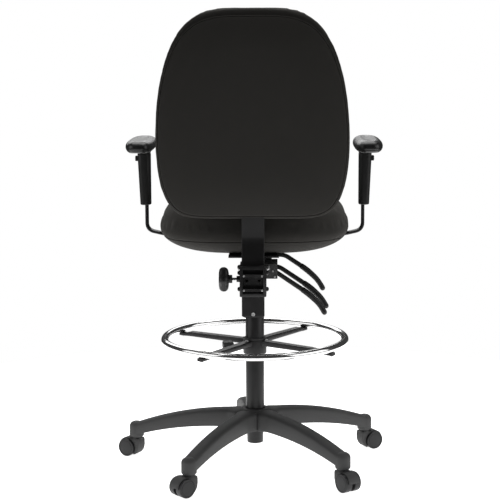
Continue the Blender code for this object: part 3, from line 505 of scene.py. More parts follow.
class Shader:
    """A material's node tree with short calls for the nodes used here."""

    def __init__(self, name):
        self.material = bpy.data.materials.new(name)
        self.material.use_nodes = True
        self.tree = self.material.node_tree
        self.surface = self.tree.nodes["Principled BSDF"]
        coordinates = self.tree.nodes.new("ShaderNodeTexCoord")
        self.place = coordinates.outputs["Object"]
        self.normal = coordinates.outputs["Normal"]

    def set(self, **values):
        """Gives the surface's own sockets their values."""
        for name, value in values.items():
            self.surface.inputs[name.replace("_", " ")].default_value = value

    def feed(self, socket, source):
        """Links a node's output to one of the surface's sockets."""
        self.tree.links.new(source, self.surface.inputs[socket])

    def link(self, node, socket, value):
        """Feeds a node's socket from an output, or gives it a plain value."""
        if isinstance(value, bpy.types.NodeSocket):
            self.tree.links.new(value, node.inputs[socket])
        else:
            node.inputs[socket].default_value = value

    def math(self, operation, *values):
        """The result of one sum."""
        node = self.tree.nodes.new("ShaderNodeMath")
        node.operation = operation
        for k, value in enumerate(values):
            self.link(node, k, value)
        return node.outputs[0]

    def noise(self, size, detail=3.0, roughness=0.55):
        """Cloudy noise whose largest lumps are about this size."""
        node = self.tree.nodes.new("ShaderNodeTexNoise")
        self.link(node, "Vector", self.place)
        node.inputs["Scale"].default_value = 1 / size
        node.inputs["Detail"].default_value = detail
        node.inputs["Roughness"].default_value = roughness
        return node.outputs["Fac"]

    def cells(self, size, feature="F1"):
        """Cells about this size: how far each point is from its cell's middle, or from its edge."""
        node = self.tree.nodes.new("ShaderNodeTexVoronoi")
        node.feature = feature
        self.link(node, "Vector", self.place)
        node.inputs["Scale"].default_value = 1 / size
        return node.outputs["Distance"]

    def split(self, vector):
        """A vector's three parts."""
        node = self.tree.nodes.new("ShaderNodeSeparateXYZ")
        self.tree.links.new(vector, node.inputs[0])
        return node.outputs

    def ramp(self, value, low, high, new_low=0.0, new_high=1.0):
        """A value stretched from one range to another, and held at its ends."""
        node = self.tree.nodes.new("ShaderNodeMapRange")
        for socket, given in zip(range(5), (value, low, high, new_low, new_high)):
            self.link(node, socket, given)
        return node.outputs[0]

    def mix(self, share, one, other):
        """A blend of two colours."""
        node = self.tree.nodes.new("ShaderNodeMix")
        node.data_type = "RGBA"
        self.link(node, 0, share)
        self.link(node, 6, one)
        self.link(node, 7, other)
        return node.outputs[2]

    def bump(self, height, depth, strength):
        """Raises the surface by a height of this depth."""
        node = self.tree.nodes.new("ShaderNodeBump")
        node.inputs["Strength"].default_value = strength
        node.inputs["Distance"].default_value = depth
        self.tree.links.new(height, node.inputs["Height"])
        self.feed("Normal", node.outputs[0])

    def edges(self, low, high):
        """How sharply the surface is folded outward here, from 0 to 1."""
        node = self.tree.nodes.new("ShaderNodeNewGeometry")
        return self.ramp(node.outputs["Pointiness"], low, high)


def lighter(colour, by):
    """A colour with each part multiplied, up to white."""
    return tuple(min(c * by, 1.0) for c in colour[:3]) + (1.0,)


def weave_height(shader, pitch):
    """Plain weave: for each face, the product of two crossed sines, shared out by the normal's squares."""
    turns = 2 * math.pi / pitch
    waves = [shader.math("SINE", shader.math("MULTIPLY", axis, turns)) for axis in shader.split(shader.place)]
    shares = [shader.math("POWER", shader.math("ABSOLUTE", n), 2.0) for n in shader.split(shader.normal)]
    total = None
    for k, share in enumerate(shares):
        one, other = waves[(k + 1) % 3], waves[(k + 2) % 3]
        crossed = shader.math("MULTIPLY", shader.math("MULTIPLY", one, other), share)
        total = crossed if total is None else shader.math("ADD", total, crossed)
    return shader.ramp(total, -1.0, 1.0)


def make_upholstery(name):
    """Plain woven cloth: crossed yarns, a fuzz of fine noise and a slow change of shade."""
    cloth = settings().cloth
    shader = Shader(name)
    weave = weave_height(shader, cloth.yarn_pitch)
    fuzz = shader.noise(0.0016, 4.0, 0.7)
    patch = shader.noise(0.11, 2.0)
    height = shader.math("ADD", weave, shader.math("MULTIPLY", fuzz, 1.2))
    share = shader.math("MULTIPLY", shader.ramp(height, 0.6, 1.7), shader.ramp(patch, 0.25, 0.75, 0.65, 1.0))
    shader.feed("Base Color", shader.mix(share, tuple(cloth.colour), tuple(cloth.light_yarn)))
    shader.feed("Roughness", shader.ramp(fuzz, 0.2, 0.8, 0.86, 1.0))
    shader.set(Sheen_Weight=0.10, Sheen_Roughness=0.45, Sheen_Tint=(0.8, 0.78, 0.74, 1.0))
    shader.set(Specular_IOR_Level=0.15)
    shader.bump(height, 0.0004, 0.55)
    return shader.material


def moulded(name, colour, roughness, grain, depth, wear):
    """Moulded plastic: cellular grain, cloudy gloss and edges rubbed a little lighter."""
    shader = Shader(name)
    shader.set(Specular_IOR_Level=0.36)
    cells = shader.cells(grain)
    cloud = shader.noise(0.035, 3.0)
    fine = shader.noise(grain * 0.6, 2.0)
    rubbed = shader.math("MULTIPLY", shader.edges(0.505, 0.56), shader.ramp(cloud, 0.35, 0.65, 0.3, 1.0))
    shade = shader.mix(shader.ramp(fine, 0.3, 0.7), lighter(colour, 0.88), lighter(colour, 1.12))
    shader.feed("Base Color", shader.mix(shader.math("MULTIPLY", rubbed, wear), shade, lighter(colour, 2.2)))
    shader.feed("Roughness", shader.ramp(cloud, 0.3, 0.7, roughness - 0.05, roughness + 0.07))
    shader.bump(cells, depth, 0.5)
    return shader.material


def make_nylon(name):
    """The base, the hoods and the bushes: a grey black with the coarsest grain."""
    plastic = settings().plastic
    return moulded(name, plastic.nylon, 0.44, plastic.grain, 0.00012, 0.35)


def make_soft_plastic(name):
    """Levers, sleeves and knobs: a finer grain, a little glossier."""
    plastic = settings().plastic
    return moulded(name, plastic.soft, 0.40, plastic.grain * 0.8, 0.00008, 0.3)


def make_wheel_plastic(name):
    """Wheel treads: nylon a touch lighter, smoother and more rubbed."""
    plastic = settings().plastic
    return moulded(name, lighter(plastic.nylon, 1.05), 0.38, plastic.grain, 0.00006, 0.5)


def make_pad_skin(name):
    """Skinned foam: a leathery net of cells over slow swells, with a soft gloss."""
    colour = settings().plastic.soft
    shader = Shader(name)
    net = shader.cells(0.0012, "DISTANCE_TO_EDGE")
    cloud = shader.noise(0.02, 2.0)
    shade = shader.mix(shader.ramp(cloud, 0.3, 0.7), lighter(colour, 0.85), lighter(colour, 1.15))
    shader.feed("Base Color", shade)
    shader.feed("Roughness", shader.ramp(cloud, 0.3, 0.7, 0.26, 0.36))
    shader.bump(shader.ramp(net, 0.0, 0.12), 0.00008, 0.5)
    return shader.material


def make_powder_coat(name):
    """Powder coat: a satin paint with an orange-peel surface."""
    colour = settings().metal.paint
    shader = Shader(name)
    peel = shader.noise(0.0022, 2.0)
    cloud = shader.noise(0.03, 3.0)
    worn = shader.math("MULTIPLY", shader.edges(0.51, 0.58), shader.ramp(cloud, 0.4, 0.6, 0.1, 0.5))
    shader.feed("Base Color", shader.mix(worn, tuple(colour), lighter(colour, 2.6)))
    shader.feed("Roughness", shader.ramp(cloud, 0.3, 0.7, 0.34, 0.44))
    shader.set(Specular_IOR_Level=0.38)
    shader.bump(peel, 0.00012, 0.4)
    return shader.material


def plated(name, colour, roughness, spread, depth):
    """Plated steel: a metal whose gloss and tint wander a little."""
    shader = Shader(name)
    cloud = shader.noise(0.018, 4.0)
    fine = shader.noise(0.0012, 3.0)
    tint = shader.mix(shader.ramp(cloud, 0.3, 0.7), lighter(colour, 0.94), (*colour, 1.0))
    shader.feed("Base Color", tint)
    shader.feed("Roughness", shader.ramp(cloud, 0.3, 0.7, roughness, roughness + spread))
    shader.set(Metallic=1.0)
    shader.bump(fine, depth, 0.2)
    return shader.material


def make_chrome(name):
    """Bright plate on the footring, the rod and the cylinder."""
    return plated(name, (0.86, 0.87, 0.88), settings().metal.chrome_roughness, 0.03, 0.00001)


def make_zinc(name):
    """Zinc plate on screws, studs and pins."""
    return plated(name, (0.66, 0.65, 0.61), 0.24, 0.12, 0.00003)


def make_spring_steel(name):
    """Dark oiled wire."""
    return plated(name, (0.20, 0.20, 0.21), 0.32, 0.12, 0.00003)


# Each finish, with the record's slot that it belongs to and the function that makes it
FINISHES = {
    "upholstery": ("fabric", make_upholstery),
    "nylon": ("nylon", make_nylon),
    "soft plastic": ("soft_plastic", make_soft_plastic),
    "wheel plastic": ("wheel_plastic", make_wheel_plastic),
    "pad skin": ("pad_plastic", make_pad_skin),
    "powder coat": ("painted_steel", make_powder_coat),
    "chrome": ("chrome", make_chrome),
    "zinc": ("zinc", make_zinc),
    "spring steel": ("spring_steel", make_spring_steel),
}


def material(finish):
    """The material of a finish, made the first time it is asked for."""
    return bpy.data.materials.get(finish) or FINISHES[finish][1](finish)


# Small fastenings


THREAD_PITCH = 0.0012
THREAD_DEPTH = 0.0004


def screw_head(at, axis, radius, height):
    """A pan head with a recess: a turned profile that rises in a quarter circle and dips in the middle."""
    arc = np.linspace(0, np.pi / 2, 7)
    rim = np.stack([radius * (0.72 + 0.28 * np.cos(arc)), height * (0.25 + 0.75 * np.sin(arc))], 1)
    recess = [(radius * 0.42, height), (radius * 0.34, height * 0.45), (0, height * 0.35)]
    profile = np.concatenate([[(0, -height * 0.3), (radius, -height * 0.3)], rim, recess])
    return turned(profile, at, facing(axis), 28)


def hex_nut(at, axis, radius, height):
    """A six-sided nut with a domed end: six-sided rings that shrink and then a round dome."""
    angle = np.linspace(0, 2 * np.pi, 24, endpoint=False)
    side = np.cos(np.pi / 6) / np.cos((angle + np.pi / 6) % (np.pi / 3) - np.pi / 6)
    rings = []
    for share, rise, roundness in ((1, 0, 0), (1, 0.5, 0), (0.86, 0.6, 1), (0.7, 0.85, 1), (0.4, 1.0, 1)):
        reach = radius * share * (side * (1 - roundness) + roundness)
        rings.append(np.stack([reach * np.cos(angle), reach * np.sin(angle), np.full(24, rise * height)], 1))
    return placed(np.array(rings), at, facing(axis))


def threaded(at, axis, radius, start, end):
    """A stud whose radius saws between the root and the crest once in each pitch."""
    count = int(round((end - start) / THREAD_PITCH)) * 2 + 1
    height = np.linspace(start, end, count)
    reach = radius - THREAD_DEPTH * (np.arange(count) % 2)
    profile = np.concatenate([[(0, start)], np.stack([reach, height], 1), [(0, end)]])
    return turned(profile, at, facing(axis), 20)


# Base


HUB_RADIUS = 0.047
HUB_HEIGHT = 0.057
LEG_ROOT = 0.036  # how far from the column a leg starts, inside the hub
LEG_FALL = 0.057  # how far a leg's back falls on its way out
LEG_HALF_WIDTH = 0.0225
LEG_NARROWING = 0.003
LEG_WALL = 0.004
SOCKET_RADIUS = 0.020


def leg_section(share, hub_top):
    """A leg's half width and the heights of its back and rim, at a share of the way out: the width narrows
    evenly, the back falls with the square of the share and the rim with its power 2.4."""
    back = hub_top - 0.003 - LEG_FALL * share**2
    rim = hub_top - 0.053 - 0.040 * share**2.4
    return LEG_HALF_WIDTH - LEG_NARROWING * share, back, rim


def star_leg(reach, hub_top):
    """One leg along +X, a channel with a round back: the back follows a superellipse, and the half width
    grows towards the hub by a bell curve."""
    share = np.linspace(0, 1, 48)[:, None]
    radius = LEG_ROOT + (reach - LEG_ROOT) * share
    narrow, top, bottom = leg_section(share, hub_top)
    half = narrow + 0.011 * np.exp(-(((radius - HUB_RADIUS) / 0.016) ** 2))
    crown = 0.55 * narrow
    angle = np.linspace(0, np.pi, 25)[None]
    back_y = half * np.sign(np.cos(angle)) * np.abs(np.cos(angle)) ** 0.85
    back_z = top - crown + crown * np.sin(angle) ** 0.85
    inside, lip, roof = half - LEG_WALL, 0.001, top - crown - 0.002
    rim_y, rim_z = [half, half - lip, inside + lip, inside], [bottom + lip, bottom, bottom, bottom + lip]
    y = np.concatenate([back_y] + [-y for y in rim_y] + [-inside, inside] + rim_y[::-1], 1)
    z = np.concatenate([back_z] + rim_z + [roof, roof] + rim_z[::-1], 1)
    return np.stack([np.repeat(radius, y.shape[1], 1), y, z], 2)


def star_ribs(reach, hub_top):
    """Thin cross walls in a leg's channel, from just under its back to just above its rim."""
    ribs = []
    for radius in np.linspace(0.085, reach - 0.055, 5):
        narrow, top, bottom = leg_section((radius - LEG_ROOT) / (reach - LEG_ROOT), hub_top)
        half = narrow - LEG_WALL + 0.001
        low, high = (radius - 0.001, -half, bottom + 0.004), (radius + 0.001, half, top - 0.014)
        ribs.append(soft_block(low, high, 0.0004, 2))
    return ribs


def star_socket(low, top):
    """The round socket at a leg's end: a cylinder whose top rolls over in a quarter of a circle."""
    radius, roll = SOCKET_RADIUS, 0.014
    arc = np.linspace(0, np.pi / 2, 10)
    over = np.stack([radius - roll + roll * np.cos(arc), top - roll + roll * np.sin(arc)], 1)
    foot = [(0, low), (radius - 0.0022, low), (radius - 0.0012, low + 0.0006)]
    foot += [(radius - 0.0005, low + 0.0022), (radius, low + 0.003)]
    return turned(np.concatenate([foot, over, [(0, top)]]), steps=48)


def build_base_star():
    """The hub as a ring, and a leg, its ribs and its socket towards each caster."""
    low, high = corners("base_star")
    top, foot, r = high[2], high[2] - HUB_HEIGHT, HUB_RADIUS
    bore = corners("column_tube")[1][1] - COLUMN_AXIS[1] + RUNNING_GAP
    hub = [(bore, foot), (r - 0.004, foot), (r, foot + 0.005), (r, top - 0.018)]
    hub += [(r - 0.003, top - 0.009), (r - 0.009, top - 0.002), (r - 0.013, top), (bore, top)]
    shells = [ring(hub, 0.003, 4, COLUMN_AXIS)]
    for number in CASTERS:
        out = joint_place(f"caster_swivel_{number}") - COLUMN_AXIS
        reach, turn = math.hypot(out[0], out[1]), about_z(math.atan2(out[1], out[0]))
        shells.append(placed(star_leg(reach, top), COLUMN_AXIS, turn))
        shells += [placed(rib, COLUMN_AXIS, turn) for rib in star_ribs(reach, top)]
        shells.append(placed(star_socket(low[2], top - LEG_FALL), COLUMN_AXIS + turn @ (reach, 0, 0)))
    add_piece("star_moulding", shells, "nylon", "base", ["base_star"], 50)


# Casters


HOOD_RADIUS = 0.0278
HOOD_UNDER_RADIUS = 0.0305
HOOD_UNDER_SHIFT = 0.007  # how far forward and up the under circle's middle stands from the axle
HOOD_HALF_WIDTH = 0.017
WEB_HALF_WIDTH = 0.0045
NECK_RADIUS = 0.0158
STEM_RADIUS = 0.0062
PIN_RADIUS = 0.004
PIN_HALF_LENGTH = 0.0205
WHEEL_WIDTH = 0.019


def caster_place(number):
    """A caster's place on the floor, how its trail is turned, the trail's length and the axle's height."""
    stem = joint_place(f"caster_swivel_{number}")
    axle = joint_place(f"wheel_roll_{number}a")
    trail = axle - stem
    turn = about_z(math.atan2(trail[1], trail[0]))
    return stem * (1, 1, 0), turn, math.hypot(trail[0], trail[1]), axle[2]


def hood_edge(trail, axle):
    """The hood's side view: over the wheels on one circle, down the neck's front, and under on another."""
    over = np.radians(np.linspace(4, 112, 40))
    under = np.radians(np.linspace(186, 240, 16))
    cowl = (trail, axle) + HOOD_RADIUS * np.stack([np.cos(over), np.sin(over)], 1)
    front = np.array([(-0.0140, axle + 0.026), (-0.0158, axle + 0.020), (-0.0160, axle + 0.008)])
    foot = HOOD_UNDER_RADIUS * np.stack([np.cos(under), np.sin(under)], 1)
    foot += (trail - HOOD_UNDER_SHIFT, axle + HOOD_UNDER_SHIFT)
    return np.concatenate([cowl, front, foot])


def hood_cowl(trail, axle):
    """The hood round the wheel wells: its section runs straight in from the outer edge to the well."""
    edge = hood_edge(trail, axle)
    angle = np.arctan2(edge[:, 1] - axle, edge[:, 0] - trail)
    well = axle + 3 * RUNNING_GAP
    inner = (trail, axle) + well * np.stack([np.cos(angle), np.sin(angle)], 1)
    share = np.array([0.25, 0.0, 0.0, 0.25, 1.0, 1.0])
    half = HOOD_HALF_WIDTH
    y = np.array([-half, 0.0015 - half, half - 0.0015, half, half, -half])
    flat = edge[:, None] * (1 - share[None, :, None]) + inner[:, None] * share[None, :, None]
    return np.stack([flat[..., 0], np.broadcast_to(y, flat.shape[:2]), flat[..., 1]], 2)


def hood_web(trail, axle):
    """The wall between the wheels: the hood's side view as a plate, closed straight across its open end."""
    edge = hood_edge(trail, axle)
    middle, half = np.array([trail - 0.004, axle + 0.002]), WEB_HALF_WIDTH
    rings = []
    for shrink, y in ((0.97, -half), (0.99, 0.0008 - half), (0.99, half - 0.0008), (0.97, half)):
        flat = middle + (edge - middle) * shrink
        rings.append(np.stack([flat[:, 0], np.full(len(flat), y), flat[:, 1]], 1))
    return np.array(rings)


def wheel_shell(radius, side):
    """A twin wheel's half: a turned profile with a rounded tread, a groove round its face and a domed cap."""
    width = WHEEL_WIDTH
    tread = rounded([(radius - 0.0022, 0), (radius, 0), (radius, width), (radius - 0.0045, width)], 0.0022, 6)
    groove = width - 0.0007
    face = [(radius - 0.0050, groove), (radius - 0.0058, groove), (radius - 0.0064, width + 0.0001)]
    cap = [(0.012, width + 0.0005), (0, width + 0.0007)]
    bore = [(0, width - 0.003), (0.0043, width - 0.003), (0.0043, 0), (radius - 0.004, 0)]
    profile = np.concatenate([bore, tread, face, cap])
    profile[:, 1] = (profile[:, 1] + WEB_HALF_WIDTH + RUNNING_GAP) * side
    return profile


def build_casters():
    """For each caster a hood with its web, neck and axle pin, and two wheels."""
    top = corners("base_star")[0][2] - RUNNING_GAP
    groove, stem = NECK_RADIUS - 0.0012, STEM_RADIUS
    level = np.stack([(1, 0, 0), (0, 0, -1), (0, 1, 0)], 1)
    for number in CASTERS:
        at, turn, trail, axle = caster_place(number)
        neck = [(0, axle + 0.008), (NECK_RADIUS - 0.001, axle + 0.008), (NECK_RADIUS, axle + 0.012)]
        neck += [(NECK_RADIUS, top - 0.0035), (groove, top - 0.003), (groove, top - 0.0015)]
        neck += [(NECK_RADIUS, top - 0.001), (NECK_RADIUS, top), (stem, top)]
        neck += [(stem, top - 0.004), (0, top - 0.004)]
        end = PIN_HALF_LENGTH
        pin = [(0, -end), (PIN_RADIUS, -end), (PIN_RADIUS, end), (0, end)]
        shells = [hood_cowl(trail, axle), hood_web(trail, axle), turned(neck, steps=48)]
        shells.append(turned(pin, (trail, 0, axle), level, 24))
        shells = [placed(shell, at, turn) for shell in shells]
        body, hood = f"caster_{number}", f"caster_hood_{number}"
        add_piece(f"caster_cover_{number}", shells, "nylon", body, [hood], 45)
        repaint("zinc", f"caster_stem_{number}")
        for letter, side in (("a", 1), ("b", -1)):
            name = f"wheel_{number}{letter}"
            centre = joint_place(f"wheel_roll_{number}{letter}")
            shell = placed(turned(wheel_shell(axle, side), turn=level), centre, turn)
            add_piece(f"{name}_tread", [shell], "wheel plastic", name, [f"caster_{name}"], 38)


# Column and gas lift


COLUMN_WALL = 0.0025
COLUMN_FOOT_RADIUS = 0.0218
COLUMN_FLOOR = 0.006
PIN_BORE = 0.0054
ROD_BORE = 0.0144
CYLINDER_RADIUS = 0.014


def build_column():
    """The outer tube with its taper and floor, the bush at its mouth and the gas cylinder, each a ring."""
    low, high = corners("column_tube")
    radius, hub_top, floor = high[1] - COLUMN_AXIS[1], corners("base_star")[1][2], low[2] + COLUMN_FLOOR
    inside = radius - COLUMN_WALL
    tube = [(PIN_BORE, low[2]), (COLUMN_FOOT_RADIUS, low[2]), (radius, hub_top), (radius, high[2])]
    tube += [(inside, high[2]), (inside, hub_top)]
    tube += [(COLUMN_FOOT_RADIUS - COLUMN_WALL, floor), (PIN_BORE, floor)]
    shell = ring(tube, 0.0006, 3, COLUMN_AXIS, count=96)
    add_piece("outer_column", [shell], "powder coat", "base", ["column_tube"])

    flange, sleeve = high[2] + RUNNING_GAP, inside - RUNNING_GAP
    low, high = corners("column_bush")
    bush = [(ROD_BORE, low[2]), (sleeve, low[2]), (sleeve, flange), (radius, flange)]
    bush += [(radius, high[2] - 0.0024), (radius - 0.003, high[2]), (ROD_BORE, high[2])]
    add_piece("guide_bush", [ring(bush, 0.0007, 3, COLUMN_AXIS)], "nylon", "base", ["column_bush"])

    low, high = corners("gas_spring")
    cylinder = [(PIN_BORE, low[2]), (CYLINDER_RADIUS, low[2])]
    cylinder += [(CYLINDER_RADIUS, high[2]), (PIN_BORE, high[2])]
    add_piece("gas_cylinder", [ring(cylinder, 0.0008, 4, COLUMN_AXIS)], "chrome", "mechanism", ["gas_spring"])
    repaint("chrome", "gas_rod")
    repaint("zinc", "thrust_bearing", "retaining_clip", "release_pin")


# Footring


SPOKES = 4
SPOKE_TURN = math.radians(56.5)
SPOKE_ROOT = 0.027
HOOP_REACH = 0.2445
HOOP_RADIUS = 0.0095
RING_BORE = 0.0254
RING_HUB_RADIUS = 0.032
RING_SCREW_REACH = 0.0385
CLAMP_GRIP = ((-0.015, -0.012, 0.060), (0.015, 0.012, 0.088))
CLAMP_LINES = (0.066, 0.074, 0.082)


def ring_spoke(hub_top, tip_high):
    """A pressed spoke along +X: a flat bar with round edges and a shallow rib, thinner past its bend."""
    reach = HOOP_REACH + 0.006
    bend = reach - 0.034
    radius = np.concatenate([np.linspace(SPOKE_ROOT, bend, 14), np.linspace(reach - 0.030, reach, 14)])
    share = np.interp(radius, [SPOKE_ROOT, bend, reach - 0.019, reach], [0, 0.4, 1, 1])[:, None]
    half = 0.0125 - 0.003 * share
    high = hub_top - 0.001 + (tip_high - hub_top + 0.001) * share
    low = high - 0.015 + 0.006 * share
    outline = rounded([(1, -1), (1, 1), (-1, 1), (-1, -1)], 0.45, 5, closed=True)
    rib = 0.0016 * np.exp(-((outline[:, 0] / 0.28) ** 2)) * (outline[:, 1] > 0.5)
    y = outline[None, :, 0] * half
    z = (high + low) / 2 + outline[None, :, 1] * (high - low) / 2 + rib[None] * (1 - share)
    return np.stack([np.repeat(radius[:, None], y.shape[1], 1), y, z], 2)


def build_footring():
    """The hoop is a circle turned round the column; the frame is a ring with four spokes and a boss."""
    low, high = corners("footring_hoop")
    middle = (low[2] + high[2]) / 2
    tip_high = middle - 0.0098
    angle = np.linspace(0, 2 * np.pi, 28, endpoint=False)
    circle = (HOOP_REACH, middle) + HOOP_RADIUS * np.stack([np.cos(angle), np.sin(angle)], 1)
    hoop = turned(circle, COLUMN_AXIS, steps=240)
    add_piece("hoop_tube", [(hoop, True)], "chrome", "footring", ["footring_hoop"])

    cap_low, cap_high = corners("footring_collar")
    hub_low, hub_high, bore = corners("footring_spider")[0][2], cap_low[2] - RUNNING_GAP, RING_BORE
    hub = [(bore, hub_low), (RING_HUB_RADIUS, hub_low), (RING_HUB_RADIUS, hub_high), (bore, hub_high)]
    shells = [ring(hub, 0.0012, 4, COLUMN_AXIS)]
    screws = []
    for k in range(SPOKES):
        turn = about_z(SPOKE_TURN + 2 * math.pi * k / SPOKES)
        shells.append(placed(ring_spoke(hub_high, tip_high), COLUMN_AXIS, turn))
        top = COLUMN_AXIS + turn @ (RING_SCREW_REACH, 0, hub_high - 0.0012)
        tip = COLUMN_AXIS + turn @ (HOOP_REACH, 0, tip_high - 0.009)
        screws += [screw_head(top, UP, 0.0042, 0.0026), screw_head(tip, -UP, 0.0045, 0.0026)]
    at, line = joint_place("footring_clamp_turn"), np.array(JOINTS["footring_clamp_turn"]["axis"])
    turn = facing(line)
    boss = [(0.0043, 0.0305), (0.009, 0.0305), (0.009, 0.042), (0.0043, 0.042)]
    shells.append(ring(boss, 0.0008, 3, at, turn, 32))
    add_piece("footring_frame", shells, "powder coat", "footring", ["footring_spider"], 42)
    add_piece("footring_screws", screws, "zinc", "footring")

    cap = [(bore, cap_low[2]), (0.031, cap_low[2]), (0.031, cap_low[2] + 0.002)]
    cap += [(0.028, cap_high[2]), (bore, cap_high[2])]
    add_piece("footring_cap", [ring(cap, 0.0006, 3, COLUMN_AXIS)], "nylon", "footring", ["footring_collar"])

    grip = [soft_block(*CLAMP_GRIP, 0.004, 5)]
    for along in CLAMP_LINES:
        low, high = (-0.0156, -0.0126, along - 0.0014), (0.0156, 0.0126, along + 0.0014)
        grip.append(soft_block(low, high, 0.001, 3))
    grip = [placed(shell, at, turn) for shell in grip]
    add_piece("clamp_grip", grip, "soft plastic", "footring_clamp", ["footring_knob"])
    stud = threaded(at, line, 0.004, 0.0253, 0.0605)
    add_piece("clamp_thread", [stud], "zinc", "footring_clamp", ["footring_stud"])


# Mechanism and levers


def coil(centre, axis, radius, wire, length, turns):
    """A coil: each ring of its wire lies in a plane through the axis, turned and moved on a step."""
    angle = np.linspace(0, 2 * np.pi * turns, int(turns * 24))[:, None]
    around = np.linspace(0, 2 * np.pi, 10, endpoint=False)[None]
    reach = radius + wire * np.cos(around)
    along = length * (angle / (2 * np.pi * turns) - 0.5) + wire * np.sin(around)
    grid = np.stack([reach * np.cos(angle), reach * np.sin(angle), along], 2)
    return placed(grid, centre, facing(axis))


def build_mechanism():
    """The tray, the plate and the lever box keep their frame shapes; the spring and fixings are added."""
    carry_over("mechanism_tray", "tilt_tray", "powder coat", 0.0006)
    carry_over("seat_plate", "seat_bracket", "powder coat", 0.0004)
    carry_over("lever_box", "lever_cover", "nylon", 0.0005)
    repaint("zinc", "front_pivot", "rear_pivot", "lever_pin", "height_lever_pin")
    spring = coil(joint_place("seat_tilt"), (1, 0, 0), radius=0.009, wire=0.0015, length=0.040, turns=6)
    add_piece("tilt_coil", [spring], "spring steel", "mechanism", ["tilt_spring"])
    low, high = corners("lever_box")
    places = ((low[0] + 0.007, low[2] + 0.006), (high[0] - 0.006, high[2] - 0.006))
    screws = [screw_head((x, high[1], z), (0, 1, 0), 0.0026, 0.0015) for x, z in places]
    add_piece("lever_box_screws", screws, "zinc", "mechanism")
    low, high = corners("seat_plate")
    ceiling = high[2] - 0.003
    bolts = []
    for x in (low[0] + 0.014, high[0] - 0.014):
        bolts += [hex_nut((x, y, ceiling), -UP, 0.005, 0.0030) for y in (low[1] + 0.012, high[1] - 0.014)]
    add_piece("seat_bolts", bolts, "zinc", "seat")


# A lever's slopes from its pivot to its tip, with the runs of the last two
LEVER_SLOPE = math.radians(34)
LEVER_BEND = (math.radians(43), 0.040)
LEVER_TIP = (math.radians(60), 0.034)
EYE_BORE = 0.0028
EYE_RADIUS = 0.0062


def lever_line(pivot, offset, first_run):
    """A lever's route at one Y: from its pivot down at its slope, round two bends and along the grip."""
    points = [pivot, pivot + offset] if any(offset) else [pivot]
    for slope, run in ((LEVER_SLOPE, first_run), LEVER_BEND, LEVER_TIP):
        points.append(points[-1] - np.array([run * math.cos(slope), 0, run * math.sin(slope)]))
    return evenly(rounded(np.array(points), 0.016, 9), 90)


def lever_bar(route, wide):
    """The moulded sleeve over the steel: a superellipse that thickens a little towards the grip."""
    section = superellipse(1.0, 1.0, 3.4, 28)
    half = np.stack([0.0056 + 0.0008 * np.linspace(0, 1, len(route)), np.full(len(route), wide)], 1)
    return carried(route, section[None] * half[:, None], (0, 1, 0))


def lever_grip(route, wide):
    """The moulded grip: a superellipse that opens quickly at its root, and closes over its last tenth like
    half an egg."""
    share = np.linspace(0, 1, len(route))
    closing = np.clip((1 - share) / 0.10, 0, 1)
    opening = np.clip(share / 0.03, 0, 1)
    scale = np.sqrt(1 - (1 - closing) ** 2) * (0.86 + 0.14 * np.sqrt(1 - (1 - opening) ** 2))
    waist = 1 + 0.04 * np.sin(share * np.pi * 2.0)
    section = superellipse(0.0073, wide + 0.0022, 2.8, 32)
    return carried(route, section[None] * (scale * waist)[:, None, None], (0, 1, 0))


def add_lever(name, wide, first_run, offset):
    """An arm with an eye on its pivot, and the grip over its outer half."""
    body = f"{name.removeprefix('lever_')}_lever"
    pivot = joint_place(f"{body}_lift")
    route = lever_line(pivot, np.array(offset), first_run)
    eye = [(EYE_BORE, -wide), (EYE_RADIUS, -wide), (EYE_RADIUS, wide), (EYE_BORE, wide)]
    arm = [lever_bar(route[3:56], wide), (turned(eye, pivot, facing((0, 1, 0)), 32), True)]
    if name == "lever_height":
        pin_top = corners("release_pin")[1][2]
        low = (pivot[0], pivot[1] - 0.005, pin_top + 0.0005)
        arm.append(soft_block(low, (COLUMN_AXIS[0] + 0.004, pivot[1] + 0.005, pin_top + 0.005), 0.0008, 2))
    add_piece(f"{name}_arm", arm, "soft plastic", body, [name])
    add_piece(f"{name}_grip", [lever_grip(route[44:], wide)], "soft plastic", body, [name], 60)


def build_levers():
    """Three levers, each with its half width, its first run and how far its arm starts from its pivot."""
    add_lever("lever_back", 0.0075, 0.112, (0, 0, 0))
    add_lever("lever_seat", 0.0075, 0.102, (-0.014, 0, 0.004))
    add_lever("lever_height", 0.0070, 0.076, (-0.037, 0, 0.005))


# Back support


BACK_LEAN = math.radians(8)
PANEL_HEIGHT = corners("back_panel")[1][2] - corners("back_cushion")[0][2]
BACK_REAR_FOOT = corners("back_panel")[1][1] - PANEL_HEIGHT * math.tan(BACK_LEAN)
BAR_HALF_THICK = 0.004
BAR_HALF_WIDTH = 0.029
BAR_FOOT_SHARE = 0.76  # the share of its width that the bar's lowest edge keeps
BAR_BEFORE_REAR = 0.0295  # how far the bar's middle stands in front of the panel's rear
BAR_HOLE_RADIUS = 0.0038
BAR_HOLE_REACH = 0.016  # how far each hole is from the bar's middle
BRACKET_HALF_WIDTH = 0.034
KNOB_RADIUS = 0.030
KNOB_WAVE = 0.0025
KNOB_LOBES = 5
KNOB_LENGTH = 0.025
KNOB_BORE = 0.0038


def bar_route(place, back_foot):
    """The bar's middle line: upright through the bracket, a slant to the foot of the back, then the lean."""
    start, top = corners("back_bar")[0][2], corners("back_bar")[1][2]
    bracket_top, foot = corners("back_carrier")[1][2], corners("back_cushion")[0][2]
    points = [(place, start), (place, start + 0.008), (place, bracket_top + 0.010)]
    points += [(back_foot - 0.0085, foot - 0.056), (back_foot, foot)]
    points.append((back_foot + (top - foot) * math.tan(BACK_LEAN), top))
    return rounded([(COLUMN_AXIS[0], y, z) for y, z in points], 0.014, 7)


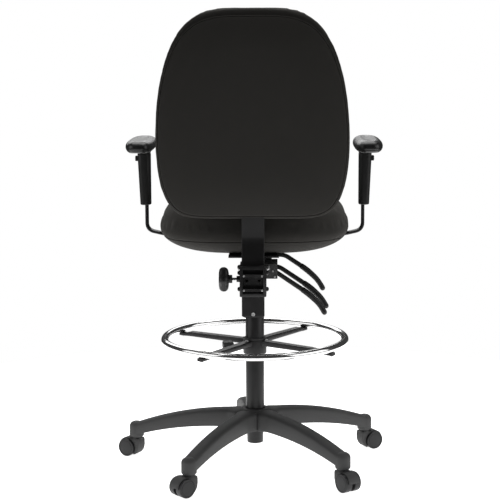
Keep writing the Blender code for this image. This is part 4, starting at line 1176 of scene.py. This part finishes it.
def build_back_support():
    """The bracket with its screws and nuts, the flat bar carried along its route, and the clamp knob."""
    carry_over("back_carrier", "back_bracket", "powder coat", 0.0009)
    low, high = corners("back_carrier")
    at, middle = joint_place("back_clamp_turn"), COLUMN_AXIS[0]
    stud_y = at[1]
    screws = []
    for z in (low[2] + 0.017, high[2] - 0.026):
        places = [(middle + x, high[1] - 0.003, z) for x in (-0.0235, 0.0235)]
        screws += [screw_head(place, (0, 1, 0), 0.0030, 0.0018) for place in places]
    add_piece("bracket_screws", screws, "zinc", "back_support")
    nuts = []
    for side in (-1, 1):
        face = middle + side * BRACKET_HALF_WIDTH
        for z in (high[2] - 0.007, high[2] - 0.022, low[2] + 0.016):
            nuts.append(hex_nut((face, stud_y - 0.010, z), (side, 0, 0), 0.0058, 0.0062))
    add_piece("bracket_nuts", nuts, "powder coat", "back_support")

    section = np.array([(1, -1), (1, 1), (-1, 1), (-1, -1)]) * (BAR_HALF_THICK, BAR_HALF_WIDTH)
    route = bar_route(stud_y, BACK_REAR_FOOT - BAR_BEFORE_REAR)
    sections = np.repeat(rounded(section, 0.0022, 5, closed=True)[None], len(route), 0)
    sections[0, :, 1] *= BAR_FOOT_SHARE
    shell = carried(route, sections, (1, 0, 0))
    bar = add_piece("support_bar", [shell], "powder coat", "back", ["back_bar"], 35)
    hole = [(0, -0.02), (BAR_HOLE_RADIUS, -0.02), (BAR_HOLE_RADIUS, 0.02), (0, 0.02)]
    centres = [(middle + x, stud_y, (low[2] + high[2]) / 2) for x in (-BAR_HOLE_REACH, BAR_HOLE_REACH)]
    cut_away(bar, [turned(hole, centre, facing((0, 1, 0)), 32) for centre in centres])
    bar.data.shade_smooth()
    bar.data.set_sharp_from_angle(angle=math.radians(35))
    stop = (middle, stud_y + BAR_HALF_THICK, corners("back_bar")[0][2] + 0.009)
    add_piece("stop_screw", [screw_head(stop, (0, 1, 0), 0.0048, 0.00022)], "zinc", "back")
    add_back_knob(at)


def add_back_knob(at):
    """The clamp knob: its radius waves round each turn and swells along its length like a superellipse."""
    turn = facing((1, 0, 0))
    start = corners("back_knob")[0][0] - at[0]
    share = np.linspace(0, 1, 22)[:, None]
    swell = (1 - np.abs(2 * share - 1) ** 2.2) ** (1 / 2.2) * 0.45 + 0.55
    angle = np.linspace(0, 2 * np.pi, 100, endpoint=False)[None]
    reach = (KNOB_RADIUS + KNOB_WAVE * np.cos(KNOB_LOBES * angle)) * swell
    along = np.repeat(start + 0.009 + KNOB_LENGTH * share, 100, 1)
    handle = placed(np.stack([reach * np.cos(angle), reach * np.sin(angle), along], 2), at, turn)
    collar = [(KNOB_BORE, start), (0.0100, start), (0.0105, start + 0.0015)]
    collar += [(0.0105, start + 0.012), (KNOB_BORE, start + 0.012)]
    shells = [handle, ring(collar, 0.0008, 3, at, turn, 40)]
    add_piece("back_knob_handle", shells, "soft plastic", "back_clamp", ["back_knob"], 40)
    stud = threaded(at, (1, 0, 0), 0.0035, 0.0293, start + 0.014)
    add_piece("back_knob_thread", [stud], "zinc", "back_clamp", ["back_knob_stud"])


# Cushions


PANEL_THICK = 0.024
CUSHION_THICK = 0.058
PANEL_CROWN = 0.017  # how far the panel's top stands below the cushion's
CUSHION_EDGE = 0.017  # how far in front of the panel the cushion is at its widest
CUSHION_BULGE = -0.0022  # the inset there, which stands proud of the outline
BACK_WIDEST = 0.200  # height of the widest line above the foot of the back
SEAT_WIDEST = 0.0234  # height of the widest line above the foot of the cushion
SEAT_ROUNDING = 0.254  # how far in the seat's top would round off, cut short at its flat middle
SEAT_TUCK = 0.160  # how far in its underside would reach
SIMULATED_FRAMES = 20
GROOVE_HEIGHT = 0.0112


def even_cover(obj, voxel):
    """Remeshes a closed piece into even squares."""
    remesh = obj.modifiers.new("even cover", "REMESH")
    remesh.mode = "VOXEL"
    remesh.voxel_size = voxel
    keep_modified(obj)


def coordinates(mesh):
    """A mesh's points as rows of x, y, z."""
    points = np.empty(len(mesh.vertices) * 3, np.float32)
    mesh.vertices.foreach_get("co", points)
    return points.reshape(-1, 3).astype(float)


def set_coordinates(mesh, points):
    """Moves a mesh's points to these."""
    mesh.vertices.foreach_set("co", points.astype(np.float32).ravel())
    mesh.update()


def fill(obj, held):
    """Cloth blown up from inside: the seams are held, and no point moves further than the cap."""
    cloth_settings = settings().cloth
    even_cover(obj, cloth_settings.voxel)
    rest = coordinates(obj.data)
    group = obj.vertex_groups.new(name="seams")
    weight = np.clip(held(rest), 0, 1)
    for index in np.flatnonzero(weight > 0.01):
        group.add([int(index)], float(weight[index]), "REPLACE")
    modifier = obj.modifiers.new("filling", "CLOTH")
    cloth = modifier.settings
    cloth.quality = 5
    cloth.mass = 0.3
    cloth.tension_stiffness = 12
    cloth.compression_stiffness = 12
    cloth.shear_stiffness = 6
    cloth.bending_stiffness = 2.0
    cloth.use_pressure = True
    cloth.uniform_pressure_force = cloth_settings.pressure
    cloth.vertex_group_mass = "seams"
    cloth.effector_weights.gravity = 0
    modifier.point_cache.frame_start = 1
    modifier.point_cache.frame_end = SIMULATED_FRAMES
    scene = bpy.context.scene
    for number in range(1, SIMULATED_FRAMES + 1):
        scene.frame_set(number)
    graph = bpy.context.evaluated_depsgraph_get()
    swollen = coordinates(obj.evaluated_get(graph).data)
    obj.modifiers.clear()
    obj.vertex_groups.clear()
    scene.frame_set(1)
    move = swollen - rest
    length = np.linalg.norm(move, axis=1)
    cap = cloth_settings.swell_cap
    move *= (np.minimum(length, cap) / np.maximum(length, 1e-9))[:, None]
    set_coordinates(obj.data, rest + move)


def smooth_cover(obj):
    relax = obj.modifiers.new("relaxed", "SMOOTH")
    relax.factor = 0.5
    relax.iterations = 2
    keep_modified(obj)
    obj.data.shade_smooth()
    rounder = obj.modifiers.new("rounder", "SUBSURF")
    rounder.levels = rounder.render_levels = 1


def back_outline(depth, inset, count=200, crown=0.0):
    """The back's outline at a depth in front of its rear face: a tall egg, its lower half squarer than its
    upper, drawn in by the inset and lowered at its crown, with each point set back by the lean."""
    low, high = corners("back_cushion")
    half = (high[0] - low[0]) / 2
    widest = low[2] + BACK_WIDEST
    angle = np.linspace(0, 2 * np.pi, count, endpoint=False)
    c, s = np.cos(angle), np.sin(angle)
    upper = s > 0
    x = (half - inset) * np.sign(c) * np.abs(c) ** np.where(upper, 0.52, 0.25)
    z = widest + (np.where(upper, high[2] - crown - widest, widest - low[2]) - inset) * s
    y = BACK_REAR_FOOT + (z - low[2]) * math.tan(BACK_LEAN) - depth / math.cos(BACK_LEAN)
    return np.stack([x + COLUMN_AXIS[0], y, z], 1)


def depth_in_back(points):
    """How far points are in front of the back's rear plane."""
    low = corners("back_cushion")[0][2]
    plane = BACK_REAR_FOOT + (points[:, 2] - low) * math.tan(BACK_LEAN)
    return (plane - points[:, 1]) * math.cos(BACK_LEAN)


def build_back():
    """The cushion and the panel are stacks of the back's outline. The cushion's inset follows a quarter
    circle over its front edge; the panel thins towards its middle with a power of the share."""
    start = PANEL_THICK + RUNNING_GAP
    bulge, rise = start + CUSHION_EDGE, CUSHION_THICK - CUSHION_EDGE - 0.003
    rings = []
    for ahead, inset, crown in ((0, 0.0105, PANEL_CROWN), (0.003, 0.0050, 0.011), (0.008, 0.0006, 0.004)):
        rings.append(back_outline(start + ahead, inset, crown=crown))
    rings.append(back_outline(bulge, CUSHION_BULGE))
    for share in np.sin(np.linspace(0.12, 1, 9) * np.pi / 2):
        inset = CUSHION_BULGE + 0.082 * (1 - math.sqrt(1 - share**2))
        rings.append(back_outline(bulge + rise * share, inset))
    rings += [back_outline(start + CUSHION_THICK - 0.003, inset) for inset in (0.12, 0.16, 0.19)]
    cushion = add_piece("back_cover", [np.array(rings)], "upholstery", "back", ["back_cushion"], 180)
    fill(cushion, lambda points: (start + 0.010 - depth_in_back(points)) / 0.006)
    smooth_cover(cushion)

    rings = []
    for depth, inset in ((0, 0.0125), (0.003, 0.0110), (0.006, 0.0112)):
        rings.append(back_outline(PANEL_THICK - depth, inset, crown=PANEL_CROWN))
    for share in np.linspace(0.02, 1, 20):
        depth = 0.0005 + (PANEL_THICK - 0.007) * (1 - share) ** 2.6
        rings.append(back_outline(depth, 0.0115 + 0.118 * share, crown=PANEL_CROWN * (1 - share)))
    rings += [back_outline(0.0004, inset) for inset in (0.150, 0.170, 0.188)]
    panel = add_piece("back_panel_cover", [np.array(rings)], "upholstery", "back", ["back_panel"], 60)

    path = back_outline(PANEL_THICK - 0.003, 0.0094, 260, PANEL_CROWN)
    cord = tube_along(path, settings().cloth.piping_radius, 12)
    add_piece("back_piping", [(cord, True)], "upholstery", "back")


def seat_outline(height, inset, count=160):
    """The seat's outline at a height: a squarish superellipse, drawn in by the inset."""
    low, high = corners("seat_cushion")
    flat = superellipse((high[0] - low[0]) / 2 - inset, (high[1] - low[1]) / 2 - inset, 3.2, count)
    middle = (low + high) / 2
    return np.concatenate([flat + middle[:2], np.full((count, 1), height)], 1)


def seat_tuck(drop, depth):
    """How far the seat's side has drawn in at a drop below its widest line: one quarter of an ellipse."""
    return 0.0010 + SEAT_TUCK * (1 - np.sqrt(1 - (drop / depth) ** 2))


def build_seat():
    """The cushion and the cloth under it are stacks of the seat's outline. Above its widest line the inset
    follows a superellipse of the height, and below it the tuck."""
    low, high = corners("seat_cushion")
    pan_low, pan_high = corners("seat_pan")
    widest = low[2] + SEAT_WIDEST
    depth = widest - pan_low[2]
    rings = []
    for height in np.linspace(low[2] + 0.0002, widest - 0.003, 5):
        rings.append(seat_outline(height, seat_tuck(widest - height, depth)))
    for share in (0.0, 0.15, 0.35, 0.5, 0.62, 0.72, 0.80, 0.87, 0.93, 0.97, 1.0):
        inset = min(SEAT_ROUNDING * (1 - (1 - share**4) ** 0.2), 0.150)
        rings.append(seat_outline(widest + (high[2] - 0.003 - widest) * share, inset + 0.0015))
    rings += [seat_outline(high[2] - 0.002, 0.19), seat_outline(high[2] - 0.002, 0.22)]
    cushion = add_piece("seat_cover", [np.array(rings)], "upholstery", "seat", ["seat_cushion"], 180)
    fill(cushion, lambda points: (widest + 0.006 - points[:, 2]) / 0.008)
    smooth_cover(cushion)

    start = math.asin((widest - pan_high[2]) / depth)
    drops = depth * np.sin(np.linspace(math.pi / 2, start, 22))
    rings = [seat_outline(widest - drop, seat_tuck(drop, depth) - 0.0003) for drop in drops]
    rings.append(seat_outline(pan_high[2] + 0.004, seat_tuck(widest - pan_high[2], depth) + 0.003))
    pan = add_piece("seat_underside", [np.array(rings)], "upholstery", "seat", ["seat_pan"], 60)
    cut_away(pan, channels())
    pan.data.set_sharp_from_angle(angle=math.radians(40))


def channels():
    """Blocks for the plate's recess and the two grooves of the arm bars in the seat's underside."""
    low, high = corners("seat_plate")
    room = 2 * RUNNING_GAP
    boxes = [(low - (room, room, 0.01), (high[0] + room, high[1] + room, high[2] + RUNNING_GAP))]
    for name, side in SIDES:
        low, high = corners(f"arm_bar_{name}")
        near, far = sorted(COLUMN_AXIS[0] + side * reach for reach in (ARM_ROOT - RUNNING_GAP, 0.300))
        top = low[2] + GROOVE_HEIGHT
        boxes.append(((near, *(low[1:] - RUNNING_GAP)), (far, high[1] + RUNNING_GAP, top)))
    return [soft_block(low, high, 0.0003, 1) for low, high in boxes]


# Arms


ARM_ELBOW = 0.236
ARM_UPRIGHT = 0.293
ARM_BAR_HALF = (0.0046, 0.013)
SLEEVE_HALF = (0.0145, 0.024)
SLEEVE_SPREAD = (0.0033, 0.006)  # how much wider the sleeve's half is at its top
SLEEVE_WALL = 0.007
# The sleeve from its foot to its top: shares of its height, and insets in millimetres
SLEEVE_SHARES = (0, 0.004, 0.012, 0.93, 0.935, 0.945, 0.95, 0.985, 1)
SLEEVE_INSETS = (2.2, 1, 0, 0, 0.9, 0.9, 0, 0, 2.4)


def arm_bar(name, side, middle_y):
    """The bar: one superellipse section carried out from under the seat and up."""
    low, high = corners(f"arm_bar_{name}")
    root_height = low[2] + ARM_BAR_HALF[0]
    points = [(ARM_ROOT, root_height), (ARM_ELBOW, root_height), (ARM_UPRIGHT, root_height + 0.013)]
    points.append((ARM_UPRIGHT, high[2]))
    route = rounded([(COLUMN_AXIS[0] + side * x, middle_y, z) for x, z in points], 0.020, 12)
    return carried(route, np.repeat(superellipse(*ARM_BAR_HALF, 3.4, 40)[None], len(route), 0), (0, 1, 0))


def arm_sleeve(name, side, middle_y):
    """The sleeve: superellipses that widen evenly upward, with a rounded foot, a seam below the top and a
    rounded top, and a square hollow inside that runs up from the foot."""
    low, high = corners(f"arm_sleeve_{name}")[0][2], corners(f"arm_sleeve_{name}")[1][2]
    count = 56
    share = np.sort(np.concatenate([SLEEVE_SHARES, [0.996], np.linspace(0.03, 0.90, 12)]))
    inset = np.interp(share, SLEEVE_SHARES, SLEEVE_INSETS)
    half = SLEEVE_HALF + np.outer(share, SLEEVE_SPREAD) - inset[:, None] * 0.001
    inner_face = ARM_UPRIGHT - ARM_BAR_HALF[0] - 0.0004 - SLEEVE_WALL
    centre = COLUMN_AXIS[0] + side * (inner_face + SLEEVE_HALF[0] + SLEEVE_SPREAD[0] * share)
    unit = superellipse(1, 1, 3.0, count)
    x = centre[:, None] + half[:, :1] * unit[:, 0]
    y = middle_y + half[:, 1:] * unit[:, 1]
    outer = np.stack([x, y, np.repeat((low + (high - low) * share)[:, None], count, 1)], 2)
    hollow = superellipse(0.0051, 0.0135, 9.0, count) + (COLUMN_AXIS[0] + side * ARM_UPRIGHT, middle_y)
    rise = np.array([low, low + 0.02, high - 0.014])
    inner = np.concatenate([np.repeat(hollow[None], 3, 0), np.repeat(rise[:, None, None], count, 1)], 2)
    return np.concatenate([outer[::-1], inner])


def arm_tab(name, side):
    """The button: a soft block with three raised lines across its outer face."""
    low, high = corners(f"arm_button_{name}")
    tab = [soft_block(low, high, 0.0018, 4)]
    outside = high[0] if side > 0 else low[0]
    near, far = sorted((outside - side * 0.001, outside + side * 0.0004))
    for z in np.linspace(low[2] + 0.004, high[2] - 0.004, 3):
        first, last = (near, low[1] + 0.002, z - 0.0006), (far, high[1] - 0.002, z + 0.0006)
        tab.append(soft_block(first, last, 0.0003, 2))
    return tab


# The pad from its foot to its top: shares of its thickness, and insets in millimetres
PAD_SHARES = (0, 0.05, 0.14, 0.22, 0.25, 0.28, 0.36, 0.50, 0.62, 0.72, 0.80, 0.87, 0.93, 0.97, 1.0, 1.0)
PAD_INSETS = (8.5, 6.0, 3.2, 1.6, 2.0, 0.9, 0.2, 0, 0.8, 2.2, 4.2, 6.6, 9.8, 13.5, 19.5, 26.0)
PAD_DIP = 0.0012  # how far the middle of its top lies below the ring round it


def arm_pad(name):
    """The pad: superellipses drawn in by its table of insets, with a groove a quarter of the way up."""
    low, high = corners(f"arm_pad_{name}")
    half, middle = (high - low)[:2] / 2, (high + low)[:2] / 2
    heights = low[2] + (high[2] - low[2]) * np.array(PAD_SHARES)
    heights[-1] -= PAD_DIP
    rings = []
    for height, inset in zip(heights, np.array(PAD_INSETS) * 0.001):
        flat = superellipse(half[0] - inset, half[1] - inset, 3.4, 96) + middle
        rings.append(np.concatenate([flat, np.full((96, 1), height)], 1))
    return np.array(rings)


def build_arm(name, side):
    """One arm: bar, sleeve, button and pad."""
    low, high = corners(f"arm_bar_{name}")
    middle_y = (low[1] + high[1]) / 2
    bar, sleeve = arm_bar(name, side, middle_y), arm_sleeve(name, side, middle_y)
    add_piece(f"arm_upright_{name}", [bar], "powder coat", "seat", [f"arm_bar_{name}"])
    add_piece(f"arm_cover_{name}", [sleeve], "soft plastic", f"arm_{name}", [f"arm_sleeve_{name}"], 38)
    button = f"arm_button_{name}"
    add_piece(f"arm_press_{name}", arm_tab(name, side), "soft plastic", button, [button])
    pad = add_piece(f"arm_rest_{name}", [arm_pad(name)], "pad skin", f"arm_{name}", [f"arm_pad_{name}"], 60)


def build_arms():
    """Both arms, left first."""
    for name, side in SIDES:
        build_arm(name, side)


# Stage


# Each lamp's name, place, width and height, and power in watts; all look at the middle of the chair
SOFTBOXES = (
    ("overhead softbox", (0.0, -0.6, 3.2), (2.8, 2.4), 75),
    ("left softbox", (3.0, 1.2, 1.5), (3.2, 2.6), 32),
    ("right softbox", (-3.0, 1.0, 1.5), (3.2, 2.6), 38),
    ("front softbox", (0.7, -3.0, 2.3), (3.0, 1.8), 34),
)
LAMP_TARGET = (0, 0, 0.7)
CAMERA_SHIFT = -0.0091
SENSOR_WIDTH = 36
FLOOR_CORNERS = 128


def area_light(name, place, size, power):
    """A soft square lamp that looks at the middle of the chair."""
    data = bpy.data.lights.new(name, "AREA")
    data.shape = "RECTANGLE"
    data.size, data.size_y = size
    data.energy = power
    lamp = bpy.data.objects.new(name, data)
    lamp.visible_camera = False
    bpy.context.scene.collection.objects.link(lamp)
    set_pose(lamp, place, facing(np.array(place) - (COLUMN_AXIS + LAMP_TARGET)))


def set_pose(obj, place, turn):
    """Stands a lamp or the camera at a place with a turn."""
    matrix = np.eye(4)
    matrix[:3, :3], matrix[:3, 3] = turn, place
    obj.matrix_world = mathutils.Matrix(matrix.tolist())


def lay_floor(stage):
    """A round bright floor: a polygon whose corners are (cos a, sin a) times its radius."""
    angle = np.linspace(0, 2 * np.pi, FLOOR_CORNERS, endpoint=False)
    edge = np.stack([np.cos(angle), np.sin(angle), 0 * angle], 1) * stage.floor_radius
    mesh = bpy.data.meshes.new("floor")
    mesh.from_pydata(edge.tolist(), [], [tuple(range(FLOOR_CORNERS))])
    floor = bpy.data.objects.new("floor", mesh)
    bpy.context.scene.collection.objects.link(floor)
    shader = Shader("floor paint")
    colour = tuple(stage.floor)
    shader.set(Base_Color=colour, Roughness=0.7, Emission_Color=colour, Emission_Strength=1.0)
    mesh.materials.append(shader.material)


def light_room(stage):
    """A plain white backdrop for the camera, a faint even light for everything else, and the lamps."""
    world = bpy.data.worlds.new("white studio")
    world.use_nodes = True
    nodes, links = world.node_tree.nodes, world.node_tree.links
    plain, room = nodes["Background"], nodes.new("ShaderNodeBackground")
    for background, strength in ((plain, 1.0), (room, stage.room_light)):
        background.inputs["Color"].default_value = (1, 1, 1, 1)
        background.inputs["Strength"].default_value = strength
    choice, rays = nodes.new("ShaderNodeMixShader"), nodes.new("ShaderNodeLightPath")
    links.new(rays.outputs["Is Camera Ray"], choice.inputs["Fac"])
    links.new(room.outputs["Background"], choice.inputs[1])
    links.new(plain.outputs["Background"], choice.inputs[2])
    links.new(choice.outputs["Shader"], nodes["World Output"].inputs["Surface"])
    bpy.context.scene.world = world
    for lamp in SOFTBOXES:
        area_light(*lamp)


def set_camera(stage):
    """A camera behind the chair, stood round it by the turn, pitched down and tipped by the roll."""
    back = np.array([-math.sin(stage.turn), math.cos(stage.turn), 0])
    place = COLUMN_AXIS + back * stage.distance + (0, 0, stage.height)
    ahead = -back * math.cos(stage.pitch) - UP * math.sin(stage.pitch)
    right = np.cross(ahead, UP)
    right /= np.linalg.norm(right)
    above = np.cross(right, ahead)
    c, s = math.cos(stage.roll), math.sin(stage.roll)
    data = bpy.data.cameras.new("camera")
    data.lens = stage.lens
    data.sensor_width = SENSOR_WIDTH
    data.shift_x = CAMERA_SHIFT
    camera = bpy.data.objects.new("camera", data)
    bpy.context.scene.collection.objects.link(camera)
    set_pose(camera, place, np.stack([right * c - above * s, above * c + right * s, -ahead], 1))
    bpy.context.scene.camera = camera


def build_stage():
    """The floor, the lights, the camera and plain colours."""
    stage, view = settings().stage, bpy.context.scene.view_settings
    view.view_transform = "Standard"
    view.look = "None"
    lay_floor(stage)
    light_room(stage)
    set_camera(stage)


# Operators


class BuildStage(bpy.types.Operator):
    """Lay the floor, hang the softboxes and set the camera"""

    bl_idname = "drafting_chair.stage"
    bl_label = "Stage"

    def execute(self, context):
        build_stage()
        return {"FINISHED"}


class BuildBaseStar(bpy.types.Operator):
    """Mould the hub, the five ribbed legs and their sockets"""

    bl_idname = "drafting_chair.base_star"
    bl_label = "Base star"

    def execute(self, context):
        build_base_star()
        return {"FINISHED"}


class BuildCasters(bpy.types.Operator):
    """Fit the five twin-wheel casters"""

    bl_idname = "drafting_chair.casters"
    bl_label = "Casters"

    def execute(self, context):
        build_casters()
        return {"FINISHED"}


class BuildColumn(bpy.types.Operator):
    """Turn the outer column, its bush and the gas cylinder"""

    bl_idname = "drafting_chair.column"
    bl_label = "Column and gas lift"

    def execute(self, context):
        build_column()
        return {"FINISHED"}


class BuildFootring(bpy.types.Operator):
    """Make the plated hoop, its spokes and hub, and the clamp"""

    bl_idname = "drafting_chair.footring"
    bl_label = "Footring"

    def execute(self, context):
        build_footring()
        return {"FINISHED"}


class BuildMechanism(bpy.types.Operator):
    """Finish the tilt tray, the seat bracket and the spring"""

    bl_idname = "drafting_chair.mechanism"
    bl_label = "Mechanism"

    def execute(self, context):
        build_mechanism()
        return {"FINISHED"}


class BuildLevers(bpy.types.Operator):
    """Sweep the three levers and their grips"""

    bl_idname = "drafting_chair.levers"
    bl_label = "Levers"

    def execute(self, context):
        build_levers()
        return {"FINISHED"}


class BuildBackSupport(bpy.types.Operator):
    """Finish the back's bracket, bar and clamp knob"""

    bl_idname = "drafting_chair.back_support"
    bl_label = "Back support"

    def execute(self, context):
        build_back_support()
        return {"FINISHED"}


class BuildBack(bpy.types.Operator):
    """Fill and cover the back cushion and its rear panel"""

    bl_idname = "drafting_chair.back"
    bl_label = "Back"

    def execute(self, context):
        build_back()
        return {"FINISHED"}


class BuildSeat(bpy.types.Operator):
    """Fill and cover the seat cushion and its underside"""

    bl_idname = "drafting_chair.seat"
    bl_label = "Seat"

    def execute(self, context):
        build_seat()
        return {"FINISHED"}


class BuildArms(bpy.types.Operator):
    """Make both arms: bar, cover, button and pad"""

    bl_idname = "drafting_chair.arms"
    bl_label = "Arms"

    def execute(self, context):
        build_arms()
        return {"FINISHED"}


OPERATORS = (
    BuildStage,
    BuildBaseStar,
    BuildCasters,
    BuildColumn,
    BuildFootring,
    BuildMechanism,
    BuildLevers,
    BuildBackSupport,
    BuildBack,
    BuildSeat,
    BuildArms,
)


class ChairPanel(bpy.types.Panel):
    """The chair's settings and the steps that build it"""

    bl_idname = "VIEW3D_PT_drafting_chair"
    bl_label = "Drafting Chair"
    bl_space_type = "VIEW_3D"
    bl_region_type = "UI"
    bl_category = "Drafting Chair"

    def draw(self, context):
        for group in ("cloth", "plastic", "metal", "stage"):
            values = getattr(settings(), group)
            box = self.layout.box()
            for name in values.__annotations__:
                box.prop(values, name)
        for operator in OPERATORS:
            self.layout.operator(operator.bl_idname)


GROUPS = (ClothSettings, PlasticSettings, MetalSettings, StageSettings, ChairSettings)


def register():
    """Adds the classes and hangs the settings on the scene."""
    for kind in GROUPS + OPERATORS + (ChairPanel,):
        bpy.utils.register_class(kind)
    bpy.types.Scene.drafting_chair = bpy.props.PointerProperty(type=ChairSettings, name="Drafting chair")


def unregister():
    """Takes the settings and the classes away again."""
    del bpy.types.Scene.drafting_chair
    for kind in reversed(GROUPS + OPERATORS + (ChairPanel,)):
        bpy.utils.unregister_class(kind)


def main():
    """Builds every group in order."""
    register()
    for operator in OPERATORS:
        group, name = operator.bl_idname.split(".")
        getattr(getattr(bpy.ops, group), name)()


if __name__ == "__main__":
    main()
